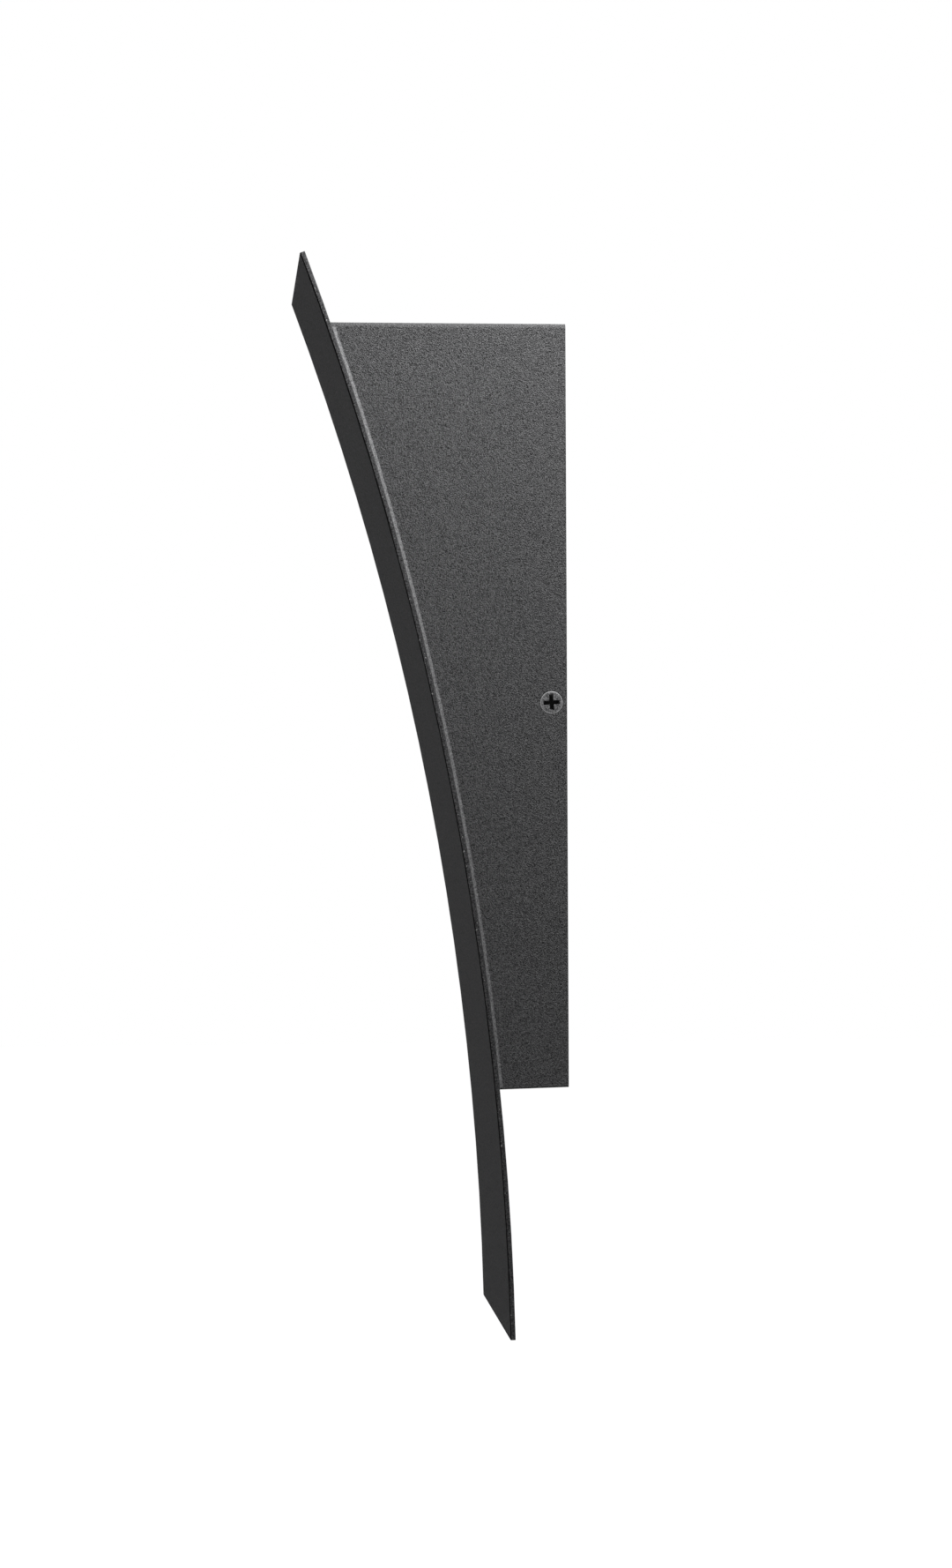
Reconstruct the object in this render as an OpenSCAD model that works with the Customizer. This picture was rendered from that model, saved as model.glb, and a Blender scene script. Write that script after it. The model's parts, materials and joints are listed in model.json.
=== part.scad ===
// Outdoor wall light: a wedge-shaped cast housing behind one tall curved shield,
// with a lit window in its top and another in its underside.
// +Z is up, the wall is the plane y = 0 and the light stands out toward -Y.
// The origin is on the wall, level with the two side screws.

/* [Housing] */
// Width of the housing
body_w = 123.4; // [119:0.1:137]
// Height of the housing above the side screws
housing_up = 146; // [142:1:156]
// Height of the housing below the side screws, at the wall
housing_down = 147.7; // [144:0.1:158]
// Depth at the top edge, from the wall to the back of the shield
depth_top = 90.7; // [86:0.1:100]
// Depth at the bottom edge, from the wall to the back of the shield
depth_bottom = 26.7; // [26:0.1:32]
// Thickness of the cast walls
wall = 2.5; // [2:0.1:3]
// Rounding of the casting's top edges
top_edge_r = 2.2; // [1:0.1:3]
// Rounding of the casting's bottom edges
bottom_edge_r = 0.6; // [0.4:0.1:2]
// Rounding of the casting's inner corners
inner_r = 0.8; // [0.4:0.1:2]
// Fall of the underside toward the front, in degrees
bottom_fall = 1.5; // [0:0.1:3]

/* [Shield] */
// Thickness of the curved shield
shield_t = 2; // [1.5:0.1:3]
// Radius of the bend, on the back of the shield
bend_r = 1279; // [1000:1:1700]
// Height of the shield above the housing
shield_over = 26.7; // [10:0.1:50]
// Length of the shield below the housing
shield_under = 96.3; // [10:0.1:120]
// Rounding of the shield's long edges
shield_edge_r = 0.5; // [0.2:0.1:0.7]
// How far the shield stands past the housing's sides, filled by a bead
shield_side = 1.8; // [1.2:0.1:3]
// Distance between the shield's weld studs, side to side
stud_gap_x = 70; // [50:1:90]
// Distance from the housing's top face to the upper studs
stud_drop = 52; // [50:0.5:56]
// Distance from the housing's underside to the lower studs
stud_rise = 49.7; // [42:0.1:56]
// Radius of a stud
stud_r = 2; // [1.5:0.1:2.5]
// Length of a stud past the shield
stud_len = 9; // [8:0.5:14]
// Clearance between the shield and the housing's front
shield_seat = 0.05; // [0.02:0.01:0.3]

/* [Windows] */
// Distance from the housing's sides to the windows
window_side = 13.5; // [12.5:0.1:22]
// Rounding of a window's corners
window_r = 5; // [2:0.5:6]
// Distance from the wall to the top window
top_gap_back = 13; // [11:0.5:20]
// Distance from the top window to the shield
top_gap_front = 12; // [11:0.5:20]
// Distance from the wall to the bottom window
bottom_gap_back = 7; // [6:0.5:9]
// Distance from the bottom window to the shield
bottom_gap_front = 7; // [6.5:0.5:9]
// Thickness of a lens's flange
flange_t = 2; // [1.5:0.1:3]
// Overlap of a lens's flange behind the wall
flange_lap = 3; // [2:0.1:3.5]
// Thickness of a lens gasket
seal_t = 1; // [0.5:0.1:2]
// Thickness of a lens's retaining frame
frame_t = 1.2; // [0.8:0.1:2]
// Distance from a window's ends to the top frame's screws
frame_screw_inset = 9; // [6:0.5:14]

/* [Shelves and boards] */
// Distance from the top face to the upper shelf
up_chamber = 38; // [30:1:42]
// Distance from the underside to the lower shelf
down_chamber = 24; // [18:1:28]
// Thickness of a shelf
shelf_t = 2; // [1.5:0.1:3]
// Distance from the wall to a shelf
shelf_back = 5; // [4:0.5:6]
// Height of the cast lugs that hold the shelves
lug_h = 8; // [6:0.5:12]
// Width of a cast lug
lug_w = 8; // [7:0.5:10]
// Distance from a lamp board's ends to the lugs
board_side = 3; // [1:0.1:8]
// Depth of the upper lamp board
up_board_d = 40; // [32:1:44]
// Depth of the lower lamp board
down_board_d = 13; // [10:0.5:14]
// Thickness of a lamp board
board_t = 1.6; // [1:0.1:2.4]
// Distance between the upper board's lamps, side to side
up_led_gap_x = 11; // [8:0.5:12]
// Distance between the upper board's lamps, front to back
up_led_gap_y = 10; // [8:0.5:12]
// Distance between the lower board's lamps
down_led_gap_x = 9; // [6:0.5:10]
// Length of one lamp
led_l = 3.5; // [2:0.1:5]
// Depth of one lamp
led_d = 2.8; // [2:0.1:5]
// Height of one lamp
led_h = 0.8; // [0.5:0.1:1.6]

/* [Driver] */
// Distance from the driver's ears to the housing's sides
driver_side = 5; // [3.5:0.1:12]
// Depth of the driver's case
driver_d = 24; // [20:0.5:30]
// Height of the driver's case
driver_h = 42; // [34:1:44]
// Height of the driver's middle above the side screws
driver_up = 59; // [56:0.5:62]
// Least height of the bosses under the driver
driver_lift = 8; // [5:0.5:12]
// Thickness of the driver's lid
lid_t = 2; // [1.5:0.1:3]

/* [Terminal block] */
// Distance between the terminal block's poles
pole_gap = 11; // [9:0.5:13]
// Number of poles
poles = 3; // [2:1:4]
// Height of the terminal block
block_h = 20; // [18:0.5:24]
// Depth of the terminal block
block_d = 13; // [11:0.5:15]
// Depth of its middle below the side screws
block_down = 72; // [66:0.5:76]
// Least thickness of the cast pad under it
block_lift = 2.5; // [1.5:0.1:4]

/* [Mounting plate] */
// Thickness of the mounting plate
plate_t = 2; // [1.5:0.1:3]
// Height of the mounting plate
plate_h = 86; // [76:1:96]
// Thickness of the foam behind the plate
foam_t = 2; // [1:0.1:2.5]
// Width of the foam's band
foam_band = 6; // [4:0.5:7]
// Height of the plate's two side tabs
tab_h = 24; // [18:1:34]
// Depth of the side tabs past the plate
tab_d = 9; // [8:0.5:14]
// Clearance between the plate's tabs and the housing
tab_gap = 0.3; // [0.2:0.05:0.5]
// Radius of the wire hole
wire_hole_r = 11; // [8:0.5:14]
// Distance between the outlet box slots
slot_gap = 79.4; // [76:0.1:84]
// Length of an outlet box slot, end to end
slot_len = 15; // [8:0.5:17]
// Half width of an outlet box slot
slot_r = 2.4; // [2:0.1:3]
// Distance from the plate's ends to the wall anchor holes
anchor_side = 6.9; // [6:0.1:12]
// Distance from the plate's top and bottom edges to the wall anchor holes
anchor_inset = 12; // [11:0.5:17]
// Radius of a wall anchor hole
anchor_r = 2.25; // [2:0.05:3]

/* [Side screws] */
// Distance from the wall to the side screws
side_screw_y = 6; // [5.5:0.1:8]
// Radius of a side screw's shank
side_screw_r = 2.5; // [2:0.1:3]
// Radius of a side screw's head
side_head_r = 4.5; // [4:0.1:4.7]
// Length of a side screw
side_screw_len = 10; // [8:0.5:12]
// Length of the tapped collar on a side tab
collar_len = 3; // [1:0.5:4]
// Width across the cross recess of a side screw
cross_w = 6.1; // [4:0.1:6.4]
// How far the cross recesses are turned, in degrees
cross_turn = 4; // [-45:1:45]

/* [Small screws and fits] */
// Radius of a small screw's shank
screw_r = 1.5; // [1.2:0.1:1.6]
// Radius of a small screw's head
head_r = 2.75; // [2.4:0.05:3]
// Height of a small screw's head
head_h = 1.8; // [1.4:0.1:2.2]
// Clearance round a screw or stud
screw_gap = 0.05; // [0.02:0.01:0.15]
// Clearance round a lens in its window
lens_gap = 0.3; // [0.2:0.05:0.6]
// Clearance between a shelf and the walls round it
shelf_gap = 0.5; // [0.3:0.1:1]
// Radius of a sleeved lead
lead_r = 1.8; // [1.4:0.1:2]
// Radius of a single lead
core_r = 1.2; // [1:0.1:1.4]

/* [Hidden] */

$fn = 48;
bend_fn = 1440;
eps = 0.01;
past = 1;
far = 400;
overrun = 30;
crease = 0.03;

inner_half = body_w / 2 - wall;

// The bend's centre lies in front of the light, from the two depths and the radius.
bend_top = [-depth_top, housing_up];
bend_bottom = [-depth_bottom, -housing_down];
bend_chord = bend_top - bend_bottom;
bend_mid = (bend_top + bend_bottom) / 2;
front_r = bend_r + shield_seat;
bend_back = sqrt(pow(bend_r, 2) - pow(norm(bend_chord) / 2, 2));
bend_y = bend_mid[0] - bend_back * bend_chord[1] / norm(bend_chord);
bend_z = bend_mid[1] + bend_back * bend_chord[0] / norm(bend_chord);

function fit_count(run, size, gap) = floor((run - size) / gap) + 1;
function bend_angle(z) = asin((z - bend_z) / bend_r);
function inner_y(z) = bend_y + sqrt(pow(front_r + wall, 2) - pow(z - bend_z, 2));

// A lens, its seal and its frame lie in this order behind the wall.
lens_stack = wall + seal_t + flange_t;
window_w = body_w - 2 * window_side;
top_window_d = depth_top - top_gap_back - top_gap_front;
bottom_window_d = depth_bottom - bottom_gap_back - bottom_gap_front;
frame_boss_r = 3.2;
boss_sink = 0.2;
frame_boss_x = inner_half - frame_boss_r + boss_sink;
frame_corner_r = 3;
frame_lip = 1.5;
frame_screw_len = frame_t + seal_t + flange_t + wall / 2;
top_frame_screw_ys = [
    -top_gap_back - frame_screw_inset,
    -top_gap_back - top_window_d + frame_screw_inset
];
bottom_frame_screw_ys = [-bottom_gap_back - bottom_window_d / 2];

// Each shelf's height is that of the face that carries its lamp board.
up_shelf_z = housing_up - up_chamber;
down_shelf_z = -housing_down + down_chamber;
up_shelf_front = inner_y(up_shelf_z - shelf_t) + shelf_gap;
down_shelf_front = inner_y(down_shelf_z) + shelf_gap;
lug_x = inner_half - lug_w / 2;
up_lug_back = 10;
up_lug_front = 12;
up_lug_ys = [-shelf_back - up_lug_back, up_shelf_front + up_lug_front];
down_lug_ys = [(down_shelf_front - shelf_back) / 2];
blind_end = 2;
shelf_screw_len = shelf_t + lug_h - blind_end;

up_lead_x = -20;
up_lead_y = -14;
down_lead_x = 20;
down_lead_y = -8;
notch_gap = 1.4;
up_board_gap = 0.8;
down_board_gap = 0.6;
notch_r = lead_r + notch_gap;
up_board_back = up_lead_y - notch_r - up_board_gap;
down_board_back = down_lead_y - lead_r - down_board_gap;
up_board_y = up_board_back - up_board_d / 2;
down_board_y = down_board_back - down_board_d / 2;
board_w = 2 * (inner_half - lug_w - board_side);
board_corner_r = 1.5;
board_screw_inset = 4.5;
board_screw_x = board_w / 2 - board_screw_inset;
board_screw_len = board_t + shelf_t;
led_size = [led_l, led_d, led_h];

// As many lamps as fit on each board, clear of its edges and its screws.
led_edge = 6;
led_screw_gap = 1;
down_led_run = 2 * (board_screw_x - head_r - led_screw_gap);
up_led_columns = fit_count(board_w - 2 * led_edge, led_l, up_led_gap_x);
up_led_rows = fit_count(up_board_d - 2 * led_edge, led_d, up_led_gap_y);
down_leds = fit_count(down_led_run, led_l, down_led_gap_x);
socket_size = [9, 11, 4.5];
socket_lap = 4;

ear_t = 2.5;
ear_w = 14;
ear_lap = 7;
ear_hole_inset = 3.5;
driver_w = 2 * (inner_half - driver_side - ear_lap);
driver_top = driver_up + driver_h / 2;
driver_bottom = driver_up - driver_h / 2;
driver_base = inner_y(driver_bottom) + driver_lift;
driver_face = driver_base + driver_d;
driver_boss_r = 4;
driver_screw_len = 9;
case_corner_r = 3;
lid_inset = 1.5;
lid_gap = 0.1;
driver_screw_x = driver_w / 2 + ear_lap - ear_hole_inset;
grommet_inset = 7;
grommet_y = driver_face - grommet_inset;
grommet_r = 3.6;
grommet_len = 4;
lower_lead_x = 40;
supply_x = -40;
core_gap = 3;

block_end = 1;
block_w = poles * pole_gap + 2 * block_end;
block_base = inner_y(-block_down - block_h / 2) + block_lift;
block_face = block_base + block_d;
block_top = -block_down + block_h / 2;
block_step = 2.5;
block_seat = 6;
block_screw_len = block_d - block_seat + block_lift + wall / 2;
block_well_gap = 0.2;
pole_w = 8;
entry_up = 4.5;
entry_y = block_base + entry_up;
clamp_r = 2.2;
clamp_h = 2.4;
clamp_d = 3;
clamp_z = 4.2;

earth_side = 17;
earth_x = inner_half - earth_side;
earth_z = -50;
earth_boss_r = 4.5;
earth_boss_lift = 3;
earth_base = inner_y(earth_z - earth_boss_r) + earth_boss_lift;
earth_screw_len = 5;
lug_plate_t = 0.8;
barrel_r = 2;
barrel_len = 6;
barrel_x = 5;
ring_inset = 0.3;
crimp = 2;

plate_front = -foam_t - plate_t;
plate_corner_r = 7;
tab_step = 2;
tab_outer = inner_half - tab_gap;
plate_half = tab_outer - tab_step;
anchor_x = plate_half - anchor_side;
anchor_z = plate_h / 2 - anchor_inset;
tab_bend_r = 1;
tab_corner_r = 3;
collar_r = side_screw_y - foam_t;
plate_screw_x = 30;
plate_screw_z = 26;

side_cone = side_head_r - side_screw_r;
side_seat_gap = 0.15;
head_proud = 0.2;
cross_d = 2;
arm_w = 1.35;
head_taper = 0.8;
drive_w = 2.8;
drive_t = 0.7;
drive_d = 1;
screw_tip = 0.4;

bead_hollow = 0.6;
stud_gap = 0.2;
washer_r = 4.5;
washer_t = 0.8;
nut_flats = 7;
nut_h = 3.2;

// The leads' routes. The two long ones go from the driver to the boards, and the third
// number of each of their points is its share of the way there.
function route_between(low, high, points) =
    [for (p = points) [p[0], p[1], low + p[2] * (high - low)]];

upper_route = route_between(driver_top, up_shelf_z + board_t, [
    [up_lead_x, grommet_y, 0],
    [up_lead_x, grommet_y, 0.2],
    [up_lead_x, -29, 0.4],
    [up_lead_x, -24, 0.6],
    [up_lead_x, -18, 0.75],
    [up_lead_x, up_lead_y, 0.9],
    [up_lead_x, up_lead_y, 1]
]);
lower_route = route_between(driver_bottom, down_shelf_z - board_t, [
    [lower_lead_x, grommet_y, 0],
    [lower_lead_x, grommet_y, 0.04],
    [43, -30, 0.1],
    [47, -30, 0.15],
    [49, -30, 0.21],
    [50, -29, 0.28],
    [50, -28, 0.34],
    [50, -27, 0.4],
    [51, -26, 0.46],
    [52, -24, 0.52],
    [52, -22, 0.58],
    [51, -20, 0.64],
    [48, -18, 0.7],
    [43, -15, 0.76],
    [36, -12, 0.81],
    [28, -10, 0.86],
    [22, -8, 0.91],
    [down_lead_x, down_lead_y, 0.96],
    [down_lead_x, down_lead_y, 1]
]);
live_route = [
    [-pole_gap, entry_y, block_top - 6],
    [-pole_gap, entry_y, -58],
    [-13, -25, -52],
    [-18, -26, -47],
    [-25, -27, -43],
    [-32, -27, -39],
    [-38, -28, -34],
    [-43, -29, -28],
    [-46, -29, -21],
    [-48, -30, -14],
    [-49, -30, -7],
    [-49, -30, 0],
    [-48, -30, 7],
    [-47, -30, 14],
    [-45, -30, 21],
    [-43, -31, 28],
    [supply_x - core_gap / 2, grommet_y, 34],
    [supply_x - core_gap / 2, grommet_y, driver_bottom]
];
neutral_route = [
    [0, entry_y, block_top - 6],
    [0, entry_y, -58],
    [-1, -25, -51],
    [-5, -26, -45],
    [-11, -27, -41],
    [-18, -27, -38],
    [-25, -27, -35],
    [-32, -28, -31],
    [-38, -29, -26],
    [-42, -29, -19],
    [-44, -30, -12],
    [-45, -30, -5],
    [-45, -30, 2],
    [-44, -30, 9],
    [-43, -30, 16],
    [-41, -30, 22],
    [-39, -31, 28],
    [supply_x + core_gap / 2, grommet_y, 34],
    [supply_x + core_gap / 2, grommet_y, driver_bottom]
];
earth_route = [
    [pole_gap, entry_y, block_top - 6],
    [pole_gap, entry_y, -58],
    [13, -26, -53],
    [earth_x - 26, -27, earth_z],
    [earth_x - 20, -29, earth_z],
    [earth_x - 15, -31, earth_z],
    [earth_x - barrel_x - barrel_len, earth_base + barrel_r, earth_z],
    [earth_x - barrel_x - crimp, earth_base + barrel_r, earth_z]
];

function unit(v) = v / norm(v);
function route_dir(p, i) = unit(p[min(i + 1, len(p) - 1)] - p[max(i - 1, 0)]);

// A closed tube with one ring at each point of its route.
module tube(route, r, side) {
    n = len(route);
    sides = 8;
    rings = [
        for (i = [0 : n - 1])
            let (t = route_dir(route, i), u = unit(cross(side, t)), v = cross(t, u))
                for (k = [0 : sides - 1])
                    route[i] + r * (cos(45 * k) * u + sin(45 * k) * v)
    ];
    walls = [
        for (i = [0 : n - 2], k = [0 : sides - 1])
            let (a = i * sides, b = a + sides, m = (k + 1) % sides)
                [a + k, b + k, b + m, a + m]
    ];
    first = [for (k = [0 : sides - 1]) k];
    last = [for (k = [sides - 1 : -1 : 0]) (n - 1) * sides + k];
    polyhedron(rings, concat([first], walls, [last]));
}

module round_rect(w, h, r) {
    square([w - 2 * r, h], center = true);
    square([w, h - 2 * r], center = true);
    for (x = [-1, 1], y = [-1, 1])
        translate([x * (w / 2 - r), y * (h / 2 - r)]) circle(r);
}

// Sweeps an outline, radius by width, round the shield's bend.
module on_bend(low, high) {
    start = bend_angle(low);
    translate([0, bend_y, bend_z])
        rotate([90, 0, 90])
            rotate([0, 0, start])
                rotate_extrude(angle = bend_angle(high) - start, $fn = bend_fn)
                    children();
}

// Stands +Z of its children on the shield's back, square to it, at a height.
module off_shield(x, z) {
    translate([0, bend_y, bend_z])
        rotate([bend_angle(z), 0, 0])
            translate([x, bend_r, 0])
                rotate([-90, 0, 0])
                    children();
}

// Both windows are drawn from the outer face inward, with the wall at y = 0.
module at_top() {
    translate([0, 0, housing_up]) mirror([0, 0, 1]) children();
}

module at_bottom() {
    translate([0, 0, -housing_down]) rotate([bottom_fall, 0, 0]) children();
}

module each_side() {
    for (side = [0, 1]) mirror([side, 0, 0]) children();
}

module each_stud() {
    for (x = [-1, 1], z = [-housing_down + stud_rise, housing_up - stud_drop])
        off_shield(x * stud_gap_x / 2, z) children();
}

// Each place of a screw has its head's seat at z = 0 and its shank below.
module each_frame_screw(ys) {
    for (x = [-1, 1], y = ys)
        translate([x * frame_boss_x, y, lens_stack + frame_t]) children();
}

module each_shelf_screw() {
    each_side() {
        for (y = up_lug_ys)
            translate([lug_x, y, up_shelf_z]) children();
        for (y = down_lug_ys)
            translate([lug_x, y, down_shelf_z]) mirror([0, 0, 1]) children();
    }
}

module each_board_screw() {
    each_side() {
        for (y = [-1, 1])
            translate([
                board_screw_x,
                up_board_y + y * (up_board_d / 2 - board_screw_inset),
                up_shelf_z + board_t
            ])
                children();
        translate([board_screw_x, down_board_y, down_shelf_z - board_t])
            mirror([0, 0, 1]) children();
    }
}

module each_driver_screw() {
    each_side()
        translate([driver_screw_x, driver_base + ear_t, driver_up])
            rotate([-90, 0, 0]) children();
}

module each_block_screw() {
    for (x = [-1, 1])
        translate([x * pole_gap / 2, block_face - block_seat, -block_down])
            rotate([-90, 0, 0]) children();
}

module at_earth_screw() {
    translate([earth_x, earth_base + lug_plate_t, earth_z])
        rotate([-90, 0, 0]) children();
}

module at_side_screw() {
    each_side()
        translate([body_w / 2, -side_screw_y, 0]) rotate([0, 90, 0]) children();
}

module each_pole() {
    for (i = [0 : poles - 1])
        translate([(i - (poles - 1) / 2) * pole_gap, 0, -block_down]) children();
}

// Rounds off a square corner at the origin, with the solid below and left of it.
// The round crosses both faces at a slight crease instead of blending into them.
module corner_cut(r) {
    difference() {
        translate([-r, -r]) square(r + past);
        translate([crease - r, crease - r]) circle(r);
    }
}

// The housing from the side, drawn in at the top and the bottom, with no front.
module side_outline(inset, back) {
    front = -depth_top - overrun;
    polygon([
        [back, housing_up - inset],
        [front, housing_up - inset],
        [front, -housing_down + inset + front * tan(bottom_fall)],
        [back, -housing_down + inset + back * tan(bottom_fall)]
    ]);
}

// A solid wedge, drawn in on every side but the wall's. Its top and bottom edges are
// rounded, and its front edges are square, where the beads cover them.
module wedge(inset, back) {
    w = body_w - 2 * inset;
    difference() {
        intersection() {
            on_bend(-housing_down - overrun, housing_up + overrun)
                translate([front_r + inset, -w / 2]) square([far, w]);
            rotate([90, 0, 90])
                linear_extrude(body_w + 2 * past, center = true) side_outline(inset, back);
        }
        each_side() {
            translate([w / 2, far / 2, housing_up - inset])
                rotate([90, 0, 0])
                    linear_extrude(far) corner_cut(max(top_edge_r - inset, inner_r));
            at_bottom()
                translate([w / 2, far / 2, inset])
                    rotate([90, 0, 0])
                        linear_extrude(far)
                            mirror([0, 1]) corner_cut(max(bottom_edge_r - inset, inner_r));
        }
    }
}

module screw(len, r = screw_r) {
    difference() {
        union() {
            cylinder(h = head_h, r1 = head_r, r2 = head_r * head_taper);
            translate([0, 0, -len]) cylinder(h = len + eps, r = r);
        }
        for (turn = [0, 90])
            rotate([0, 0, turn])
                translate([-drive_w / 2, -drive_t / 2, head_h - drive_d])
                    cube([drive_w, drive_t, drive_d + past]);
    }
}

module screw_hole(len, r = screw_r) {
    translate([0, 0, -len - screw_tip])
        cylinder(h = len + screw_tip + past, r = r + screw_gap);
}

module window_outline(d, grow) {
    round_rect(window_w + 2 * grow, d + 2 * grow, window_r + grow);
}

module window_hole(back_gap, d) {
    translate([0, -back_gap - d / 2, -past])
        linear_extrude(wall + 2 * past) window_outline(d, 0);
}

module lens(back_gap, d) {
    translate([0, -back_gap - d / 2, 0]) {
        linear_extrude(lens_stack) window_outline(d, -lens_gap);
        translate([0, 0, wall + seal_t])
            linear_extrude(flange_t) window_outline(d, flange_lap);
    }
}

module lens_seal(back_gap, d) {
    translate([0, -back_gap - d / 2, wall])
        linear_extrude(seal_t)
            difference() {
                window_outline(d, flange_lap);
                window_outline(d, 0);
            }
}

module lens_frame(back_gap, d, ys) {
    difference() {
        translate([0, -back_gap - d / 2, lens_stack])
            linear_extrude(frame_t)
                difference() {
                    round_rect(2 * (inner_half - shelf_gap), d + 2 * flange_lap, frame_corner_r);
                    window_outline(d, -frame_lip);
                }
        each_frame_screw(ys) screw_hole(frame_screw_len);
    }
}

module shelf(front, x, y) {
    depth = -shelf_back - front;
    difference() {
        translate([0, front + depth / 2, 0])
            linear_extrude(shelf_t)
                round_rect(2 * (inner_half - shelf_gap), depth, frame_corner_r);
        translate([x, y, -past])
            linear_extrude(shelf_t + 2 * past) {
                circle(notch_r);
                translate([-notch_r, 0]) square([2 * notch_r, -y]);
            }
    }
}

module board(d) {
    linear_extrude(board_t) round_rect(board_w, d, board_corner_r);
}

module lamp_grid(count_x, count_y, gap_x, gap_y) {
    for (i = [0 : count_x - 1], j = [0 : count_y - 1])
        translate([
            (i - (count_x - 1) / 2) * gap_x - led_size[0] / 2,
            (j - (count_y - 1) / 2) * gap_y - led_size[1] / 2,
            0
        ])
            cube(led_size);
}

module housing_bosses() {
    at_top() each_frame_screw(top_frame_screw_ys) frame_boss();
    at_bottom() each_frame_screw(bottom_frame_screw_ys) frame_boss();
    each_shelf_screw()
        translate([-lug_w / 2, -lug_w / 2, -shelf_t - lug_h])
            cube([lug_w + wall, lug_w, lug_h]);
    each_driver_screw()
        translate([0, 0, -ear_t - far]) cylinder(h = far, r = driver_boss_r);
    translate([-block_w / 2, block_base - far, -block_down - block_h / 2])
        cube([block_w, far, block_h]);
    at_earth_screw()
        translate([0, 0, -lug_plate_t - far]) cylinder(h = far, r = earth_boss_r);
}

module frame_boss() {
    translate([0, 0, -frame_t - lens_stack]) cylinder(h = lens_stack, r = frame_boss_r);
}

module housing_holes() {
    at_top() {
        window_hole(top_gap_back, top_window_d);
        each_frame_screw(top_frame_screw_ys) screw_hole(frame_screw_len);
    }
    at_bottom() {
        window_hole(bottom_gap_back, bottom_window_d);
        each_frame_screw(bottom_frame_screw_ys) screw_hole(frame_screw_len);
    }
    each_shelf_screw() screw_hole(shelf_screw_len);
    each_driver_screw() screw_hole(driver_screw_len);
    each_block_screw() screw_hole(block_screw_len);
    at_earth_screw() screw_hole(earth_screw_len);
    at_side_screw() {
        translate([0, 0, -wall - past])
            cylinder(h = wall + 2 * past, r = side_screw_r + side_seat_gap);
        translate([0, 0, -side_cone])
            cylinder(
                h = side_cone + side_seat_gap,
                r1 = side_screw_r + side_seat_gap,
                r2 = side_head_r + 2 * side_seat_gap
            );
    }
    each_stud()
        translate([0, 0, -past]) cylinder(h = wall + 2 * past, r = stud_r + stud_gap);
}

module housing() {
    color("#4b4b4c")
        difference() {
            union() {
                difference() {
                    wedge(0, 0);
                    wedge(wall, past);
                }
                intersection() {
                    wedge(wall / 2, 0);
                    housing_bosses();
                }
            }
            housing_holes();
        }
}

module front_shield() {
    color("#3d3d3f")
        on_bend(-housing_down - shield_under, housing_up + shield_over)
            translate([bend_r - shield_t / 2, 0])
                round_rect(shield_t, body_w + 2 * shield_side, shield_edge_r);
}

// A hollow bead of filler in each corner between the shield's back and the housing.
module joint_beads() {
    reach = shield_side - shield_edge_r + bead_hollow;
    color("#4b4b4c")
        each_side()
            on_bend(-housing_down, housing_up - top_edge_r)
                translate([front_r, body_w / 2])
                    difference() {
                        square(reach);
                        translate([reach, reach]) circle(norm([bead_hollow, reach]));
                    }
}

module shield_studs() {
    color("#b9bbbd") each_stud() cylinder(h = stud_len, r = stud_r);
}

module shield_washers() {
    color("#c4c6c8")
        each_stud()
            translate([0, 0, shield_seat + wall])
                linear_extrude(washer_t)
                    difference() {
                        circle(washer_r);
                        circle(stud_r + stud_gap);
                    }
}

module shield_nuts() {
    color("#b9bbbd")
        each_stud()
            translate([0, 0, shield_seat + wall + washer_t])
                linear_extrude(nut_h)
                    difference() {
                        circle(r = nut_flats / sqrt(3), $fn = 6);
                        circle(stud_r + screw_gap);
                    }
}

module side_screws() {
    color("#565657")
        at_side_screw()
            difference() {
                union() {
                    translate([0, 0, -side_screw_len])
                        cylinder(h = side_screw_len, r = side_screw_r);
                    translate([0, 0, -side_cone])
                        cylinder(h = side_cone, r1 = side_screw_r, r2 = side_head_r);
                    cylinder(h = head_proud, r = side_head_r);
                }
                rotate([0, 0, cross_turn]) cross_recess();
            }
}

module cross_recess() {
    intersection() {
        for (turn = [0, 90])
            rotate([0, 0, turn])
                translate([-cross_w / 2, -arm_w / 2, head_proud - cross_d])
                    cube([cross_w, arm_w, cross_d + past]);
        translate([0, 0, head_proud - cross_d])
            cylinder(h = cross_d + past, r1 = arm_w / 2, r2 = cross_w / 2 + past);
    }
}

module mounting_plate() {
    color("#c9cbcd")
        difference() {
            union() {
                translate([0, -foam_t, 0])
                    rotate([90, 0, 0])
                        linear_extrude(plate_t) plate_outline(0);
                intersection() {
                    translate([0, 0, -tab_h / 2]) linear_extrude(tab_h) tab_section();
                    translate([-body_w / 2, -foam_t, 0])
                        rotate([90, 0, 90])
                            linear_extrude(body_w)
                                round_rect(2 * (plate_t + tab_d), tab_h, tab_corner_r);
                }
                at_side_screw()
                    translate([0, 0, -wall - tab_gap - plate_t - collar_len])
                        cylinder(h = collar_len + eps, r = collar_r);
            }
            at_side_screw() screw_hole(side_screw_len + blind_end, side_screw_r);
            plate_holes();
        }
}

module plate_outline(shrink) {
    round_rect(2 * (plate_half - shrink), plate_h - 2 * shrink, plate_corner_r);
}

// The plate's section from above, folded forward into a tab at each side.
module tab_section() {
    difference() {
        translate([0, -foam_t - far / 2]) round_rect(2 * tab_outer, far, tab_bend_r + plate_t);
        translate([0, -foam_t - plate_t - far / 2])
            round_rect(2 * (tab_outer - plate_t), far, tab_bend_r);
    }
}

module plate_holes() {
    rotate([90, 0, 0])
        linear_extrude(far) {
            circle(wire_hole_r);
            for (x = [-1, 1]) {
                translate([x * slot_gap / 2, 0]) slot();
                for (z = [-1, 1])
                    translate([x * anchor_x, z * anchor_z]) circle(anchor_r);
            }
            translate([plate_screw_x, plate_screw_z]) circle(screw_r + screw_gap);
        }
}

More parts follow.
